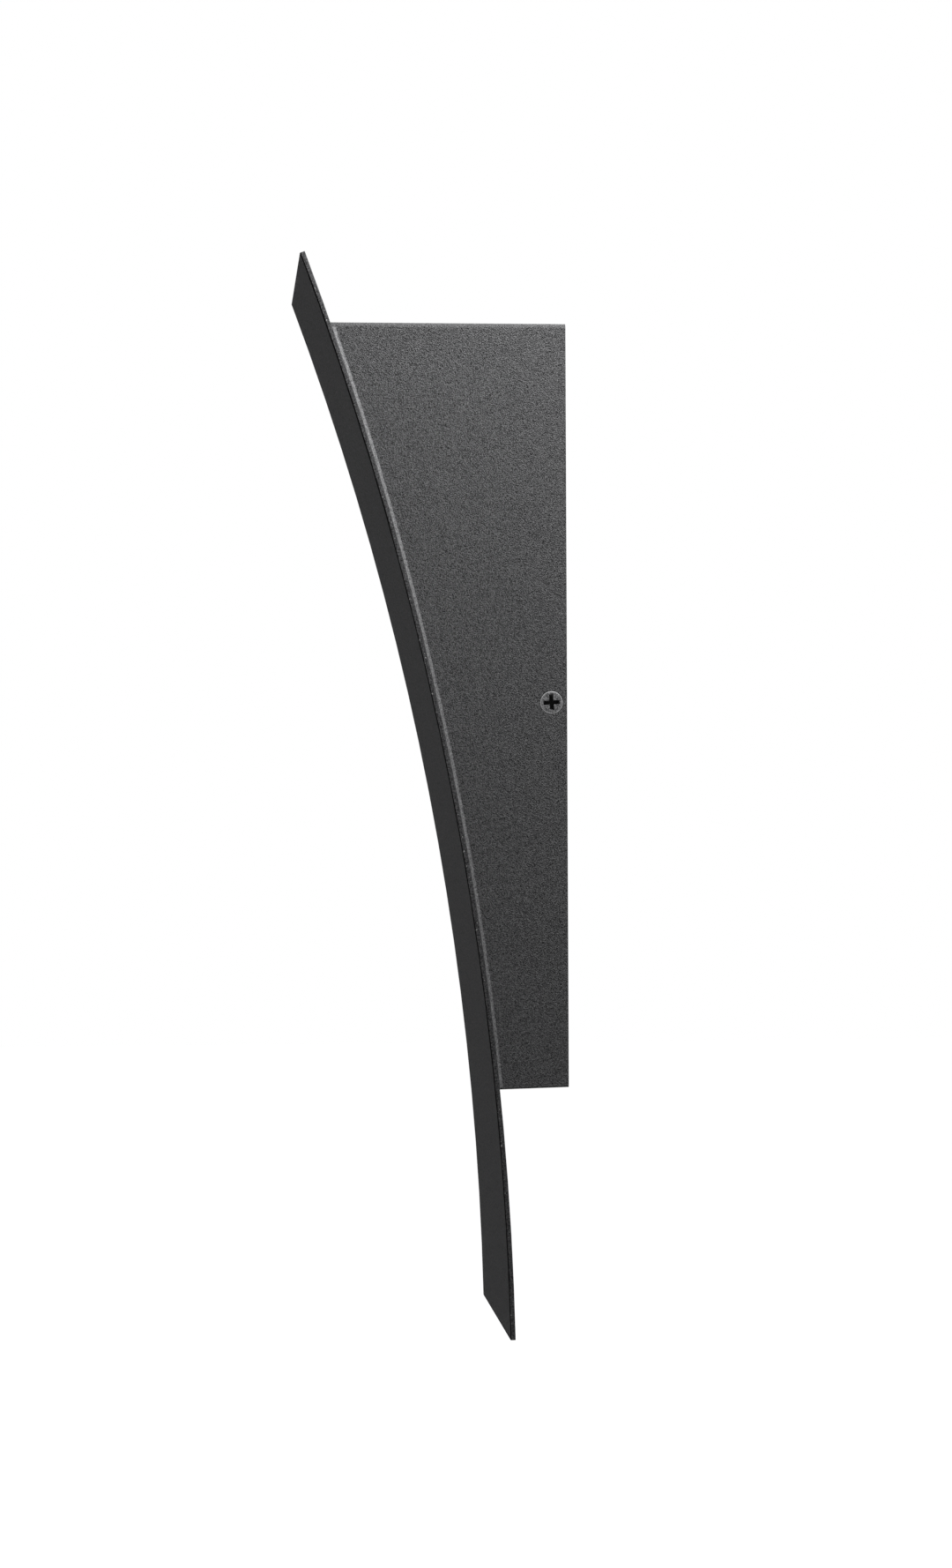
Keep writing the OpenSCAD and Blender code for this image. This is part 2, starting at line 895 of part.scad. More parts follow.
module slot() {
    run = slot_len / 2 - slot_r;
    square([2 * run, 2 * slot_r], center = true);
    for (x = [-1, 1]) translate([x * run, 0]) circle(slot_r);
}

module mounting_foam() {
    color("#2b2b2c")
        rotate([90, 0, 0])
            linear_extrude(foam_t)
                difference() {
                    plate_outline(0);
                    plate_outline(foam_band);
                }
}

module plate_earth_screw() {
    color("#3f8f4f")
        translate([plate_screw_x, plate_front, plate_screw_z])
            rotate([90, 0, 0]) screw(plate_t + foam_t / 2);
}

module top_lens() {
    color("#e9e9e4") at_top() lens(top_gap_back, top_window_d);
}

module top_lens_seal() {
    color("#d9d9d6") at_top() lens_seal(top_gap_back, top_window_d);
}

module top_lens_frame() {
    color("#b9bbbd") at_top() lens_frame(top_gap_back, top_window_d, top_frame_screw_ys);
}

module top_frame_screws() {
    color("#c4c6c8") at_top() each_frame_screw(top_frame_screw_ys) screw(frame_screw_len);
}

module bottom_lens() {
    color("#e9e9e4") at_bottom() lens(bottom_gap_back, bottom_window_d);
}

module bottom_lens_seal() {
    color("#d9d9d6") at_bottom() lens_seal(bottom_gap_back, bottom_window_d);
}

module bottom_lens_frame() {
    color("#b9bbbd")
        at_bottom() lens_frame(bottom_gap_back, bottom_window_d, bottom_frame_screw_ys);
}

module bottom_frame_screws() {
    color("#c4c6c8") at_bottom() each_frame_screw(bottom_frame_screw_ys) screw(frame_screw_len);
}

module upper_shelf() {
    color("#c2c4c6")
        difference() {
            translate([0, 0, up_shelf_z - shelf_t]) shelf(up_shelf_front, up_lead_x, up_lead_y);
            each_shelf_screw() screw_hole(shelf_screw_len);
            each_board_screw() screw_hole(board_screw_len);
        }
}

module lower_shelf() {
    color("#c2c4c6")
        difference() {
            translate([0, 0, down_shelf_z]) shelf(down_shelf_front, down_lead_x, down_lead_y);
            each_shelf_screw() screw_hole(shelf_screw_len);
            each_board_screw() screw_hole(board_screw_len);
        }
}

module shelf_screws() {
    color("#c4c6c8") each_shelf_screw() screw(shelf_screw_len);
}

module upper_lamp_board() {
    color("#eceeee")
        difference() {
            translate([0, up_board_y, up_shelf_z]) board(up_board_d);
            each_board_screw() screw_hole(board_screw_len);
        }
}

module upper_lamps() {
    color("#f2d36b")
        translate([0, up_board_y, up_shelf_z + board_t])
            lamp_grid(up_led_columns, up_led_rows, up_led_gap_x, up_led_gap_y);
}

module lower_lamp_board() {
    color("#eceeee")
        difference() {
            translate([0, down_board_y, down_shelf_z - board_t]) board(down_board_d);
            each_board_screw() screw_hole(board_screw_len);
        }
}

module lower_lamps() {
    color("#f2d36b")
        translate([0, down_board_y, down_shelf_z - board_t - led_size[2]])
            lamp_grid(down_leds, 1, down_led_gap_x, 0);
}

module board_screws() {
    color("#c4c6c8") each_board_screw() screw(board_screw_len);
}

module socket(x, back) {
    translate([x - socket_size[0] / 2, back - socket_lap, 0]) cube(socket_size);
}

module board_sockets() {
    color("#f0f0ec") {
        translate([0, 0, up_shelf_z + board_t]) socket(up_lead_x, up_board_back);
        translate([0, 0, down_shelf_z - board_t])
            mirror([0, 0, 1]) socket(down_lead_x, down_board_back);
    }
}

// The driver is drawn in plan from its base up, with its base toward the shield.
module at_driver(height) {
    translate([0, driver_base + height, driver_up]) rotate([-90, 0, 0]) children();
}

module driver_case() {
    color("#dcdcd8")
        difference() {
            union() {
                at_driver(0) linear_extrude(driver_d) round_rect(driver_w, driver_h, case_corner_r);
                at_driver(0)
                    linear_extrude(ear_t)
                        round_rect(driver_w + 2 * ear_lap, ear_w, case_corner_r);
            }
            at_driver(driver_d - lid_t)
                linear_extrude(lid_t + past) lid_outline(0);
            each_driver_screw() screw_hole(driver_screw_len);
        }
}

module lid_outline(shrink) {
    edge = 2 * (lid_inset + shrink);
    round_rect(driver_w - edge, driver_h - edge, case_corner_r - lid_inset);
}

module driver_lid() {
    color("#cfcfcb") at_driver(driver_d - lid_t) linear_extrude(lid_t) lid_outline(lid_gap);
}

module driver_screws() {
    color("#c4c6c8") each_driver_screw() screw(driver_screw_len);
}

module driver_grommets() {
    color("#2f2f31") {
        translate([up_lead_x, grommet_y, driver_top]) grommet() circle(lead_r + screw_gap);
        translate([lower_lead_x, grommet_y, driver_bottom - grommet_len])
            grommet() circle(lead_r + screw_gap);
        translate([supply_x, grommet_y, driver_bottom - grommet_len])
            grommet()
                for (x = [-1, 1]) translate([x * core_gap / 2, 0]) circle(core_r + screw_gap);
    }
}

module grommet() {
    linear_extrude(grommet_len)
        difference() {
            circle(grommet_r);
            children();
        }
}

module terminal_block() {
    color("#e6e3d8")
        difference() {
            union() {
                translate([-block_w / 2, block_base, -block_down - block_h / 2])
                    cube([block_w, block_d - block_step, block_h]);
                each_pole()
                    translate([-pole_w / 2, block_base, -block_h / 2 + block_step])
                        cube([pole_w, block_d, block_h - 2 * block_step]);
            }
            each_pole() {
                translate([0, entry_y, -block_h / 2 - past])
                    cylinder(h = block_h + 2 * past, r = core_r + screw_gap);
                for (z = [-1, 1])
                    translate([0, block_face - clamp_d, z * clamp_z])
                        rotate([-90, 0, 0]) cylinder(h = far, r = clamp_r + screw_gap);
            }
            each_block_screw() {
                screw_hole(block_screw_len);
                cylinder(h = far, r = head_r + block_well_gap);
            }
        }
}

module terminal_screws() {
    color("#c9b27a")
        each_pole()
            for (z = [-1, 1])
                translate([0, block_face - clamp_d, z * clamp_z])
                    rotate([-90, 0, 0])
                        difference() {
                            cylinder(h = clamp_h, r = clamp_r);
                            translate([-clamp_r, -drive_t / 2, clamp_h - drive_d])
                                cube([2 * clamp_r, drive_t, drive_d + past]);
                        }
}

module block_screws() {
    color("#c4c6c8") each_block_screw() screw(block_screw_len);
}

module upper_lead() {
    color("#e8e6df") tube(upper_route, lead_r, [1, 0, 0]);
}

module lower_lead() {
    color("#e8e6df") tube(lower_route, lead_r, [0, 1, 0]);
}

module live_lead() {
    color("#2a2a2b") tube(live_route, core_r, [0, 1, 0]);
}

module neutral_lead() {
    color("#efefec") tube(neutral_route, core_r, [0, 1, 0]);
}

module earth_lead() {
    color("#3f8f4f") tube(earth_route, core_r, [0, 1, 0]);
}

module earth_lug() {
    color("#cfc9a8")
        at_earth_screw()
            translate([0, 0, -lug_plate_t])
                difference() {
                    union() {
                        cylinder(h = lug_plate_t, r = earth_boss_r - ring_inset);
                        translate([-barrel_x, -barrel_r, 0])
                            cube([barrel_x, 2 * barrel_r, lug_plate_t]);
                        translate([-barrel_x - barrel_len, 0, barrel_r])
                            rotate([0, 90, 0]) cylinder(h = barrel_len, r = barrel_r);
                    }
                    translate([0, 0, -past])
                            cylinder(h = lug_plate_t + 2 * past, r = screw_r + screw_gap);
                    translate([-barrel_x - barrel_len - past, 0, barrel_r])
                        rotate([0, 90, 0]) cylinder(h = barrel_len, r = core_r + screw_gap);
                }
}

module earth_lug_screw() {
    color("#3f8f4f") at_earth_screw() screw(earth_screw_len);
}

housing();
front_shield();
joint_beads();
shield_studs();
shield_washers();
shield_nuts();
side_screws();
mounting_plate();
mounting_foam();
plate_earth_screw();
top_lens();
top_lens_seal();
top_lens_frame();
top_frame_screws();
bottom_lens();
bottom_lens_seal();
bottom_lens_frame();
bottom_frame_screws();
upper_shelf();
lower_shelf();
shelf_screws();
upper_lamp_board();
upper_lamps();
lower_lamp_board();
lower_lamps();
board_screws();
board_sockets();
driver_case();
driver_lid();
driver_screws();
driver_grommets();
terminal_block();
terminal_screws();
block_screws();
upper_lead();
lower_lead();
live_lead();
neutral_lead();
earth_lead();
earth_lug();
earth_lug_screw();
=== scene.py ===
"""Looks of an outdoor wall light: a wedge-shaped housing behind one tall curved shield,
lit through a window in its top and another in its underside."""

import json
import math

import bmesh
import bpy
from mathutils import Matrix, Vector


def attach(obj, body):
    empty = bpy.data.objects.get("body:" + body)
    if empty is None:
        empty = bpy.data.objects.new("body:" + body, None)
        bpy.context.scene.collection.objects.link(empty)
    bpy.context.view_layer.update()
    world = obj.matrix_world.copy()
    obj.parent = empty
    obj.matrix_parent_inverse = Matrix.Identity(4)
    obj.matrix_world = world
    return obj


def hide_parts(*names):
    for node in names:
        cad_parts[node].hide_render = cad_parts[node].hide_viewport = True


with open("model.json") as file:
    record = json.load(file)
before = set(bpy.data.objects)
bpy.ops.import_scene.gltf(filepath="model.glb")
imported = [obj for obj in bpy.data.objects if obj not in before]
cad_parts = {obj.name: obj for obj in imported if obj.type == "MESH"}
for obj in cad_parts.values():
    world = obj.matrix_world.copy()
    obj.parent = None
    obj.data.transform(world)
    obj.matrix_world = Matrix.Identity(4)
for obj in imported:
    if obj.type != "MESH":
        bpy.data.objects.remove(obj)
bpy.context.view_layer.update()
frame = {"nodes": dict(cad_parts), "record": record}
nodes = frame["nodes"]
slot_of = {entry["node"]: entry["material_slot"] for entry in frame["record"]["subparts"]}
MM = 0.001
# The kinds of node that come often
MATH = "ShaderNodeMath"
VECTOR_MATH = "ShaderNodeVectorMath"
COMBINE = "ShaderNodeCombineXYZ"
SEPARATE = "ShaderNodeSeparateXYZ"
RANGE = "ShaderNodeMapRange"
NOISE = "ShaderNodeTexNoise"
BOOLEAN = "GeometryNodeMeshBoolean"
TRANSFORM = "GeometryNodeTransform"
SET_MATERIAL = "GeometryNodeSetMaterial"


# Camera, from the side and a little in front, level with the light's middle
def place_camera():
    """It looks along -X, turned by small angles in radians: right, up, and round its own
    line of sight."""
    place = (1.3390, -0.1382, -0.0484)
    yaw, pitch, roll = 0.0804, 0.0134, -0.0042
    data = bpy.data.cameras.new("side_camera")
    data.sensor_width = 36.0
    data.lens = 76.733
    data.clip_start = 0.05
    camera = bpy.data.objects.new("side_camera", data)
    bpy.context.scene.collection.objects.link(camera)
    # The columns are the camera's right, up and back.
    turn = Matrix(((0, 0, 1), (1, 0, 0), (0, 1, 0))).to_4x4()
    for angle, axis in ((-yaw, "Y"), (pitch, "X"), (roll, "Z")):
        turn = turn @ Matrix.Rotation(angle, 4, axis)
    camera.matrix_world = Matrix.Translation(place) @ turn
    bpy.context.scene.camera = camera


place_camera()


def linear(hex_colour):
    """A colour written as sRGB hex, in the linear values that shaders take."""
    out = []
    for i in (1, 3, 5):
        c = int(hex_colour[i : i + 2], 16) / 255
        out.append(c / 12.92 if c <= 0.04045 else ((c + 0.055) / 1.055) ** 2.4)
    return (*out, 1.0)


def add(tree, kind, inputs=(), **settings):
    """Adds a node. Its inputs are in order or by name, and each is a value, an output to
    link to it, another node, for that node's first output, or a list of these."""
    node = tree.nodes.new(kind)
    for name, value in settings.items():
        setattr(node, name, value)
    for name, value in inputs.items() if isinstance(inputs, dict) else enumerate(inputs):
        for one in value if isinstance(value, list) else [value]:
            if isinstance(one, bpy.types.Node):
                one = next(output for output in one.outputs if output.enabled)
            if isinstance(one, bpy.types.NodeSocket):
                tree.links.new(one, node.inputs[name])
            else:
                node.inputs[name].default_value = one
    return node


def per_mm(size):
    """A texture's scale, for a grain of so many millimetres."""
    return 1 / (size * MM)


def new_material(name, rough, gloss=0.5, metal=0.0):
    """An empty material, with its tree, its shader and its place on the object in metres."""
    material = bpy.data.materials.new(name)
    material.use_nodes = True
    tree = material.node_tree
    tree.nodes.clear()
    shader = add(tree, "ShaderNodeBsdfPrincipled")
    shader.inputs["Roughness"].default_value = rough
    shader.inputs["Specular IOR Level"].default_value = gloss
    shader.inputs["Metallic"].default_value = metal
    add(tree, "ShaderNodeOutputMaterial", {"Surface": shader.outputs["BSDF"]})
    place = add(tree, "ShaderNodeTexCoord").outputs["Object"]
    return material, tree, shader, place


def colour_between(tree, factor, first, last, low=0.0, high=1.0):
    """A colour that goes from one hex value to another as a factor goes from low to high."""
    ramp = add(tree, "ShaderNodeValToRGB", (factor,))
    ramp.color_ramp.elements[0].position = low
    ramp.color_ramp.elements[0].color = linear(first)
    ramp.color_ramp.elements[1].position = high
    ramp.color_ramp.elements[1].color = linear(last)
    return ramp.outputs["Color"]


def finish_surface(tree, shader, colour, height, relief):
    """Gives a shader its colour and a bump so many millimetres deep."""
    bump = add(tree, "ShaderNodeBump", {"Height": height, "Distance": relief * MM})
    tree.links.new(colour, shader.inputs["Base Color"])
    tree.links.new(bump.outputs["Normal"], shader.inputs["Normal"])


def painted_over(tree, where, under, over):
    """A colour with another laid over it where a factor is 1."""
    # The Mix node's colour sockets are 6, 7 and, coming out, 2.
    mix = add(tree, "ShaderNodeMix", {0: where, 6: under, 7: over}, data_type="RGBA")
    return mix.outputs[2]


def sideways(tree, low, high):
    """From 0 to 1 as a surface turns to face left or right, by the share that it faces."""
    normal = add(tree, "ShaderNodeTexCoord").outputs["Normal"]
    facing = add(tree, SEPARATE, (normal,)).outputs["X"]
    either_way = add(tree, MATH, (facing,), operation="ABSOLUTE")
    limits = {"Value": either_way, "From Min": low, "From Max": high}
    return add(tree, RANGE, limits)


def sand_powder_coat(name, dark, light, grain, relief, rough, gloss):
    """Fine-sand polyester powder coat, sprayed and baked: a matt black skin of small round grains,
    which catch the light one by one. Its colour follows the bump: darker in the pores between the
    grains, as painted shade, and paler on the grains, as painted highlight."""
    material, tree, shader, place = new_material(name, rough, gloss)
    grains = add(
        tree, NOISE, {"Vector": place, "Scale": per_mm(grain), "Detail": 1.0, "Roughness": 0.5}
    )
    # Painted shade and highlight: the same noise as the bump, dark in the pores and pale on the
    # grains.
    colour = colour_between(tree, grains, dark, light, 0.25, 0.75)
    finish_surface(tree, shader, colour, grains, relief)
    return material


def shield_coat(name, dark, light, grain, relief, rough, gloss):
    """The same coat on the bent sheet. It lies flat on the faces, and on the cut edges it is
    coarser. Its colour follows the bump, as painted shade in the pores and painted highlight on the
    grains. The sheet's front corners are painted near black, as painted shade, and the cut edges
    have a few bright specks, partly bare metal where the coat misses it and partly painted glints."""
    material, tree, shader, place = new_material(name, rough, gloss)
    grains = add(
        tree, NOISE, {"Vector": place, "Scale": per_mm(grain), "Detail": 2.0, "Roughness": 0.6}
    )
    # Painted shade and highlight: the colour follows the bump, dark in the pores and pale on the
    # grains.
    smooth = colour_between(tree, grains, dark, light, 0.25, 0.75)
    coarse = colour_between(tree, grains, "#272728", "#676768", 0.32, 0.68)
    cut_edge = sideways(tree, 0.9, 0.98)
    colour = painted_over(tree, cut_edge, smooth, coarse)

    # A corner faces partly sideways and partly forward. The sheet's front corners are coloured near
    # black below: painted shade.
    corner = add(tree, MATH, (sideways(tree, 0.1, 0.3), cut_edge), operation="SUBTRACT")
    normal = add(tree, "ShaderNodeTexCoord").outputs["Normal"]
    toward_wall = add(tree, SEPARATE, (normal,)).outputs["Y"]
    forward = add(tree, MATH, (toward_wall, -0.2), operation="LESS_THAN")
    bare_rim_and_painted_dark_corner = add(tree, MATH, (corner, forward), operation="MULTIPLY", use_clamp=True)
    colour = painted_over(tree, bare_rim_and_painted_dark_corner, colour, linear("#0c0c0c"))

    # Bright specks on the cut edges: partly bare metal, partly painted glints.
    specks = add(tree, NOISE, {"Vector": place, "Scale": per_mm(0.7), "Detail": 1.0})
    bare_metal_and_glint_specks = add(tree, MATH, (specks, 0.73), operation="GREATER_THAN")
    bright = add(tree, MATH, (bare_metal_and_glint_specks, cut_edge), operation="MULTIPLY")
    colour = painted_over(tree, bright, colour, linear("#b4b4b4"))
    finish_surface(tree, shader, colour, grains, relief)
    return material


def moulded(name, colour, shade, grain, relief, rough, gloss=0.5):
    """Moulded or extruded plastic or rubber: an even colour with a faint cloudiness, and
    the fine grain that the tool left on it."""
    material, tree, shader, place = new_material(name, rough, gloss)
    clouds = add(tree, NOISE, {"Vector": place, "Scale": per_mm(9), "Detail": 3.0})
    grains = add(
        tree, NOISE, {"Vector": place, "Scale": per_mm(grain), "Detail": 2.0, "Roughness": 0.6}
    )
    tone = colour_between(tree, clouds, shade, colour, 0.3, 0.7)
    finish_surface(tree, shader, tone, grains, relief)
    return material


def rolled_sheet(name, dark, light, along, rough, relief=0.006):
    """Metal sheet from the mill, bare or plated: long faint rolling lines one way, over
    softer patches where the metal is a little duller. Real lines are some hundredths of a
    millimetre apart, too fine to show, so they are drawn about half a millimetre apart."""
    material, tree, shader, place = new_material(name, rough, metal=1.0)
    line_length, shorter_across = 12, 26
    stretch = tuple(1.0 if axis == along else shorter_across for axis in "xyz")
    drawn = add(tree, "ShaderNodeMapping", {"Vector": place, "Scale": stretch})
    lines = add(
        tree,
        NOISE,
        {"Vector": drawn, "Scale": per_mm(line_length), "Detail": 3.0, "Roughness": 0.65},
    )
    patches = add(tree, NOISE, {"Vector": place, "Scale": per_mm(6), "Detail": 2.0})
    dull = add(tree, RANGE, {"Value": patches, "To Min": rough - 0.08, "To Max": rough + 0.12})
    tree.links.new(dull.outputs["Result"], shader.inputs["Roughness"])
    colour = colour_between(tree, lines, dark, light, 0.3, 0.7)
    finish_surface(tree, shader, colour, lines, relief)
    return material


def plated(name, dark, light, rough, metal=1.0):
    """Plated or dyed small metal parts from a barrel: bright, with a fine tumbled grain
    and slightly darker clouds where the plating is thinner."""
    material, tree, shader, place = new_material(name, rough, metal=metal)
    clouds, tumbled = (
        add(tree, NOISE, {"Vector": place, "Scale": per_mm(size), "Detail": detail})
        for size, detail in ((2.4, 3.0), (0.3, 1.0))
    )
    colour = colour_between(tree, clouds, dark, light, 0.35, 0.65)
    finish_surface(tree, shader, colour, tumbled, 0.012)
    return material


def braided_sleeve(name, colour, shade):
    """Glass-fibre sleeve, braided and varnished, over a pair of leads: off-white, with
    crossed strands. Real ones are finer, and these are as coarse as they need to be to
    show. A lead's mesh says where its surface is round it and along it."""
    material, tree, shader, _ = new_material(name, 0.55)
    strands_each_way, spacing = 4, 10
    weave = add(tree, "ShaderNodeAttribute", attribute_name="weave").outputs["Vector"]
    part = add(tree, SEPARATE, (weave,)).outputs
    around = add(tree, MATH, (part["Y"], part["X"]), operation="ARCTAN2")
    across = add(tree, MATH, (around, strands_each_way), operation="MULTIPLY")
    along = add(tree, MATH, (part["Z"], per_mm(spacing) * 2 * math.pi), operation="MULTIPLY")
    strands = []
    for way in ("ADD", "SUBTRACT"):
        slant = add(tree, MATH, (across, along), operation=way)
        strands.append(add(tree, MATH, (slant,), operation="SINE"))
    crest = add(tree, MATH, strands, operation="MAXIMUM")
    # The colour follows the bump, darker between the strands: painted shade.
    finish_surface(tree, shader, colour_between(tree, crest, shade, colour), crest, 0.12)
    return material


def black_oxide(name, worn_and_painted_highlight, dark, light):
    """Black oxide on a steel screw: a soft dark grey, blotchy where the oil dried, and pale and
    metallic round the head's rim, partly worn to the bright steel and partly a painted highlight."""
    material, tree, shader, place = new_material(name, 0.45, 0.3, 0.2)
    clouds = add(tree, NOISE, {"Vector": place, "Scale": per_mm(0.6), "Detail": 2.0})
    face = colour_between(tree, clouds, dark, light, 0.38, 0.62)
    flat = sideways(tree, 0.93, 0.995)
    bare_rim_and_painted_dark_corner = add(tree, RANGE, {"Value": flat, "To Min": 1.0, "To Max": 0.3})
    tree.links.new(bare_rim_and_painted_dark_corner.outputs["Result"], shader.inputs["Metallic"])
    # The rim's pale colour is partly worn steel and partly a painted highlight.
    colour = painted_over(tree, flat, linear(worn_and_painted_highlight), face)
    finish_surface(tree, shader, colour, clouds, 0.03)
    return material


def recess_with_painted_shade(name, wall, floor):
    """The cross of a black steel screw: walls that the driver has rubbed grey, and a floor painted
    near black as painted shade in the deep cross."""
    material, tree, shader, place = new_material(name, 0.6, 0.1)
    grime = add(tree, NOISE, {"Vector": place, "Scale": per_mm(0.5), "Detail": 2.0})
    # Painted shade: the floor of the cross is near black.
    colour = painted_over(tree, sideways(tree, 0.3, 0.8), linear(wall), linear(floor))
    finish_surface(tree, shader, colour, grime, 0.02)
    return material


def closed_cell_foam(name, dark, light):
    """Closed-cell foam tape, skived: cut bubbles, whose colour follows the bump, darker in the
    hollows as painted shade and paler on the rims.
    """
    material, tree, shader, place = new_material(name, 0.95, 0.2)
    cells = add(tree, "ShaderNodeTexVoronoi", {"Vector": place, "Scale": per_mm(0.8)})
    hollow = cells.outputs["Distance"]
    # Painted shade: darker in the bubbles' hollows.
    finish_surface(tree, shader, colour_between(tree, hollow, dark, light, 0.1, 0.6), hollow, 0.15)
    return material


def opal_lens(name, colour, shade):
    """Opal polycarbonate, moulded and frosted: milky, with a satin face and no pattern but
    a faint frost. Half of the light goes through it, so it is greyer unlit than lit."""
    material, tree, shader, place = new_material(name, 0.45, 0.4)
    frost = add(tree, NOISE, {"Vector": place, "Scale": per_mm(0.35), "Detail": 2.0})
    finish_surface(tree, shader, colour_between(tree, frost, shade, colour), frost, 0.02)
    shader.inputs["Subsurface Weight"].default_value = 0.4
    shader.inputs["Subsurface Scale"].default_value = 3 * MM
    return material


def solder_mask(name, colour, track):
    """White solder mask, screened and cured over copper tracks: glossy and even, with the
    tracks as low ridges of a slightly greyer white."""
    material, tree, shader, place = new_material(name, 0.3, 0.5)
    pattern = {"Mortar Size": 0.35, "Brick Width": 22.0, "Row Height": 5.0}
    tracks = add(
        tree, "ShaderNodeTexBrick", {"Vector": place, "Scale": per_mm(1), **pattern}
    ).outputs["Fac"]
    finish_surface(tree, shader, colour_between(tree, tracks, colour, track), tracks, 0.05)
    return material


FINISHES = {
    # Powder coat: matt black, in grains of about 0.3 mm, with painted shade in the pores and painted
    # highlight on the grains. Real ones are a little finer, and these are as coarse as they need to
    # be to show.
    "textured_black": sand_powder_coat(
        "sand_powder_coat", "#1c1c1d", "#7f7f80", 0.34, 0.55, 0.5, 0.02
    ),
    # The same coat on the shield: flatter and duller, with grey edges and black corners, which are
    # painted shade.
    "shield_black": shield_coat(
        "sand_powder_coat_on_sheet", "#29292a", "#606061", 0.6, 0.16, 0.8, 0.02
    ),
    # Black oxide: blotchy dark grey inside a bright rim, partly worn and partly a painted highlight.
    "screw_black": black_oxide("black_oxide_steel", "#aaaaab", "#363637", "#7e7e7f"),
    # Zinc plate over cold-rolled steel: cool pale grey.
    "zinc_plate": rolled_sheet("zinc_plated_sheet", "#a9adb1", "#c3c6c9", "x", 0.38),
    # The same plate on small screws and nuts: brighter, with a tumbled grain.
    "steel_fasteners": plated("zinc_plated_steel", "#a6aaae", "#c6c9cc", 0.3),
    # Zinc plate dyed green, which marks the earth screws.
    "green_fasteners": plated("green_dyed_zinc", "#2f7d42", "#4da35f", 0.35, metal=0.7),
    # Stainless strip: darker, warmer and a little shinier than zinc.
    "pressed_frame": rolled_sheet("stainless_strip", "#a5a6a6", "#bdbebd", "x", 0.3),
    # Frosted plastic: milky, greyish and satin.
    "frosted_lens": opal_lens("opal_polycarbonate", "#bcbcb7", "#b0b0ab"),
    # Silicone rubber: dull grey-white.
    "silicone": moulded("silicone_rubber", "#dededb", "#d3d3d0", 0.5, 0.02, 0.6, 0.3),
    # Foam: near black and quite without shine, with small open bubbles.
    "black_foam": closed_cell_foam("closed_cell_foam", "#1f1f20", "#3a3a3b"),
    # Aluminium straight from the mill: silvery, with long rolling lines.
    "shelf_aluminium": rolled_sheet("mill_finish_aluminium", "#b4b6b8", "#cfd1d2", "x", 0.35),
    # Solder mask: clean white and glossy, with faint tracks under it.
    "board_white": solder_mask("white_solder_mask", "#eef0ef", "#dfe2e1"),
    # Phosphor in silicone: a warm yellow gel with a soft shine.
    "lamp_yellow": moulded("yellow_phosphor", "#f4d766", "#ecc64c", 0.25, 0.01, 0.3),
    # Nylon: milky white with a slight shine.
    "socket_white": moulded("natural_nylon", "#f1f0ea", "#e8e6de", 0.4, 0.01, 0.4),
    # ABS with a sparked grain, in white for the case and grey for its lid.
    "driver_white": moulded("white_abs", "#dfdfda", "#d6d6d1", 0.6, 0.05, 0.5),
    "driver_grey": moulded("grey_abs", "#cbcbc6", "#c1c1bd", 0.6, 0.05, 0.5),
    # Rubber: near black and dull.
    "black_rubber": moulded("black_rubber", "#343436", "#29292b", 0.5, 0.03, 0.75, 0.3),
    # Polyamide: cream, with a satin face.
    "block_cream": moulded("cream_polyamide", "#e8e5d9", "#dedacb", 0.5, 0.03, 0.45),
    # Plated brass: a pale, slightly yellow metal with a soft shine.
    "brass_clamps": plated("nickel_plated_brass", "#b8a06a", "#d3bd85", 0.3),
    # Braided sleeve: off-white and slightly rough, with painted shade between the strands.
    "sleeve_white": braided_sleeve("braided_glass_sleeve", "#efede6", "#bdbab0"),
    # Extruded PVC insulation: smooth, with a soft shine.
    "core_black": moulded("black_pvc", "#2e2e2f", "#242425", 1.5, 0.01, 0.4),
    "core_white": moulded("white_pvc", "#f0f0ed", "#e6e6e2", 1.5, 0.01, 0.4),
    "core_green": moulded("green_pvc", "#3f9150", "#348245", 1.5, 0.01, 0.4),
    # Tin over copper: warm silver.
    "tinned_lug": plated("tinned_copper", "#b9b6a6", "#d2cfc0", 0.32),
}

# The same powder coat over the beads of sealant: dull, in softer, larger grains, and paler, as a
# painted highlight along the joint.
bead_coat_painted_highlight = sand_powder_coat(
    "sand_powder_coat_on_beads_painted_highlight", "#4a4a4b", "#929293", 0.62, 0.1, 0.6, 0.02
)

# The cross in a side screw, with a floor that is darker than the head: painted shade.
screw_recess = recess_with_painted_shade("screw_recess_painted_shade", "#565657", "#050505")

# White PPA: the glossy plastic of a lamp's body.
lamp_body = moulded("white_ppa", "#f2f2ef", "#ebebe7", 0.3, 0.01, 0.35)

for name, obj in nodes.items():
    obj.data.materials.clear()
    obj.data.materials.append(bead_coat_painted_highlight if name == "joint_beads" else FINISHES[slot_of[name]])


# Pieces that stand for CAD nodes
def loose_parts(node):
    """The boxes of a node's separate solids, as (lowest, highest) corners."""
    shape = bmesh.new()
    shape.from_mesh(nodes[node].data)
    bmesh.ops.remove_doubles(shape, verts=shape.verts, dist=1e-6)
    left, boxes = set(shape.verts), []
    while left:
        part, border = set(), [left.pop()]
        while border:
            vert = border.pop()
            part.add(vert)
            for edge in vert.link_edges:
                other = edge.other_vert(vert)
                if other in left:
                    left.discard(other)
                    border.append(other)
        spots = [vert.co for vert in part]
        boxes.append(
            tuple(Vector([pick(spot[i] for spot in spots) for i in range(3)]) for pick in (min, max))
        )
    shape.free()
    return sorted(boxes, key=lambda pair: tuple(round(v, 5) for v in pair[0]))


def settle(name, mesh, node, smooth_angle=35):
    """Makes a finished mesh the piece that stands for a node."""
    shape = bmesh.new()
    shape.from_mesh(mesh)
    if shape.calc_volume(signed=True) < 0:
        bmesh.ops.reverse_faces(shape, faces=shape.faces)
    for face in shape.faces:
        face.smooth = True
    shape.to_mesh(mesh)
    shape.free()
    mesh.set_sharp_from_angle(angle=math.radians(smooth_angle))
    return stand_for(name, mesh, node)


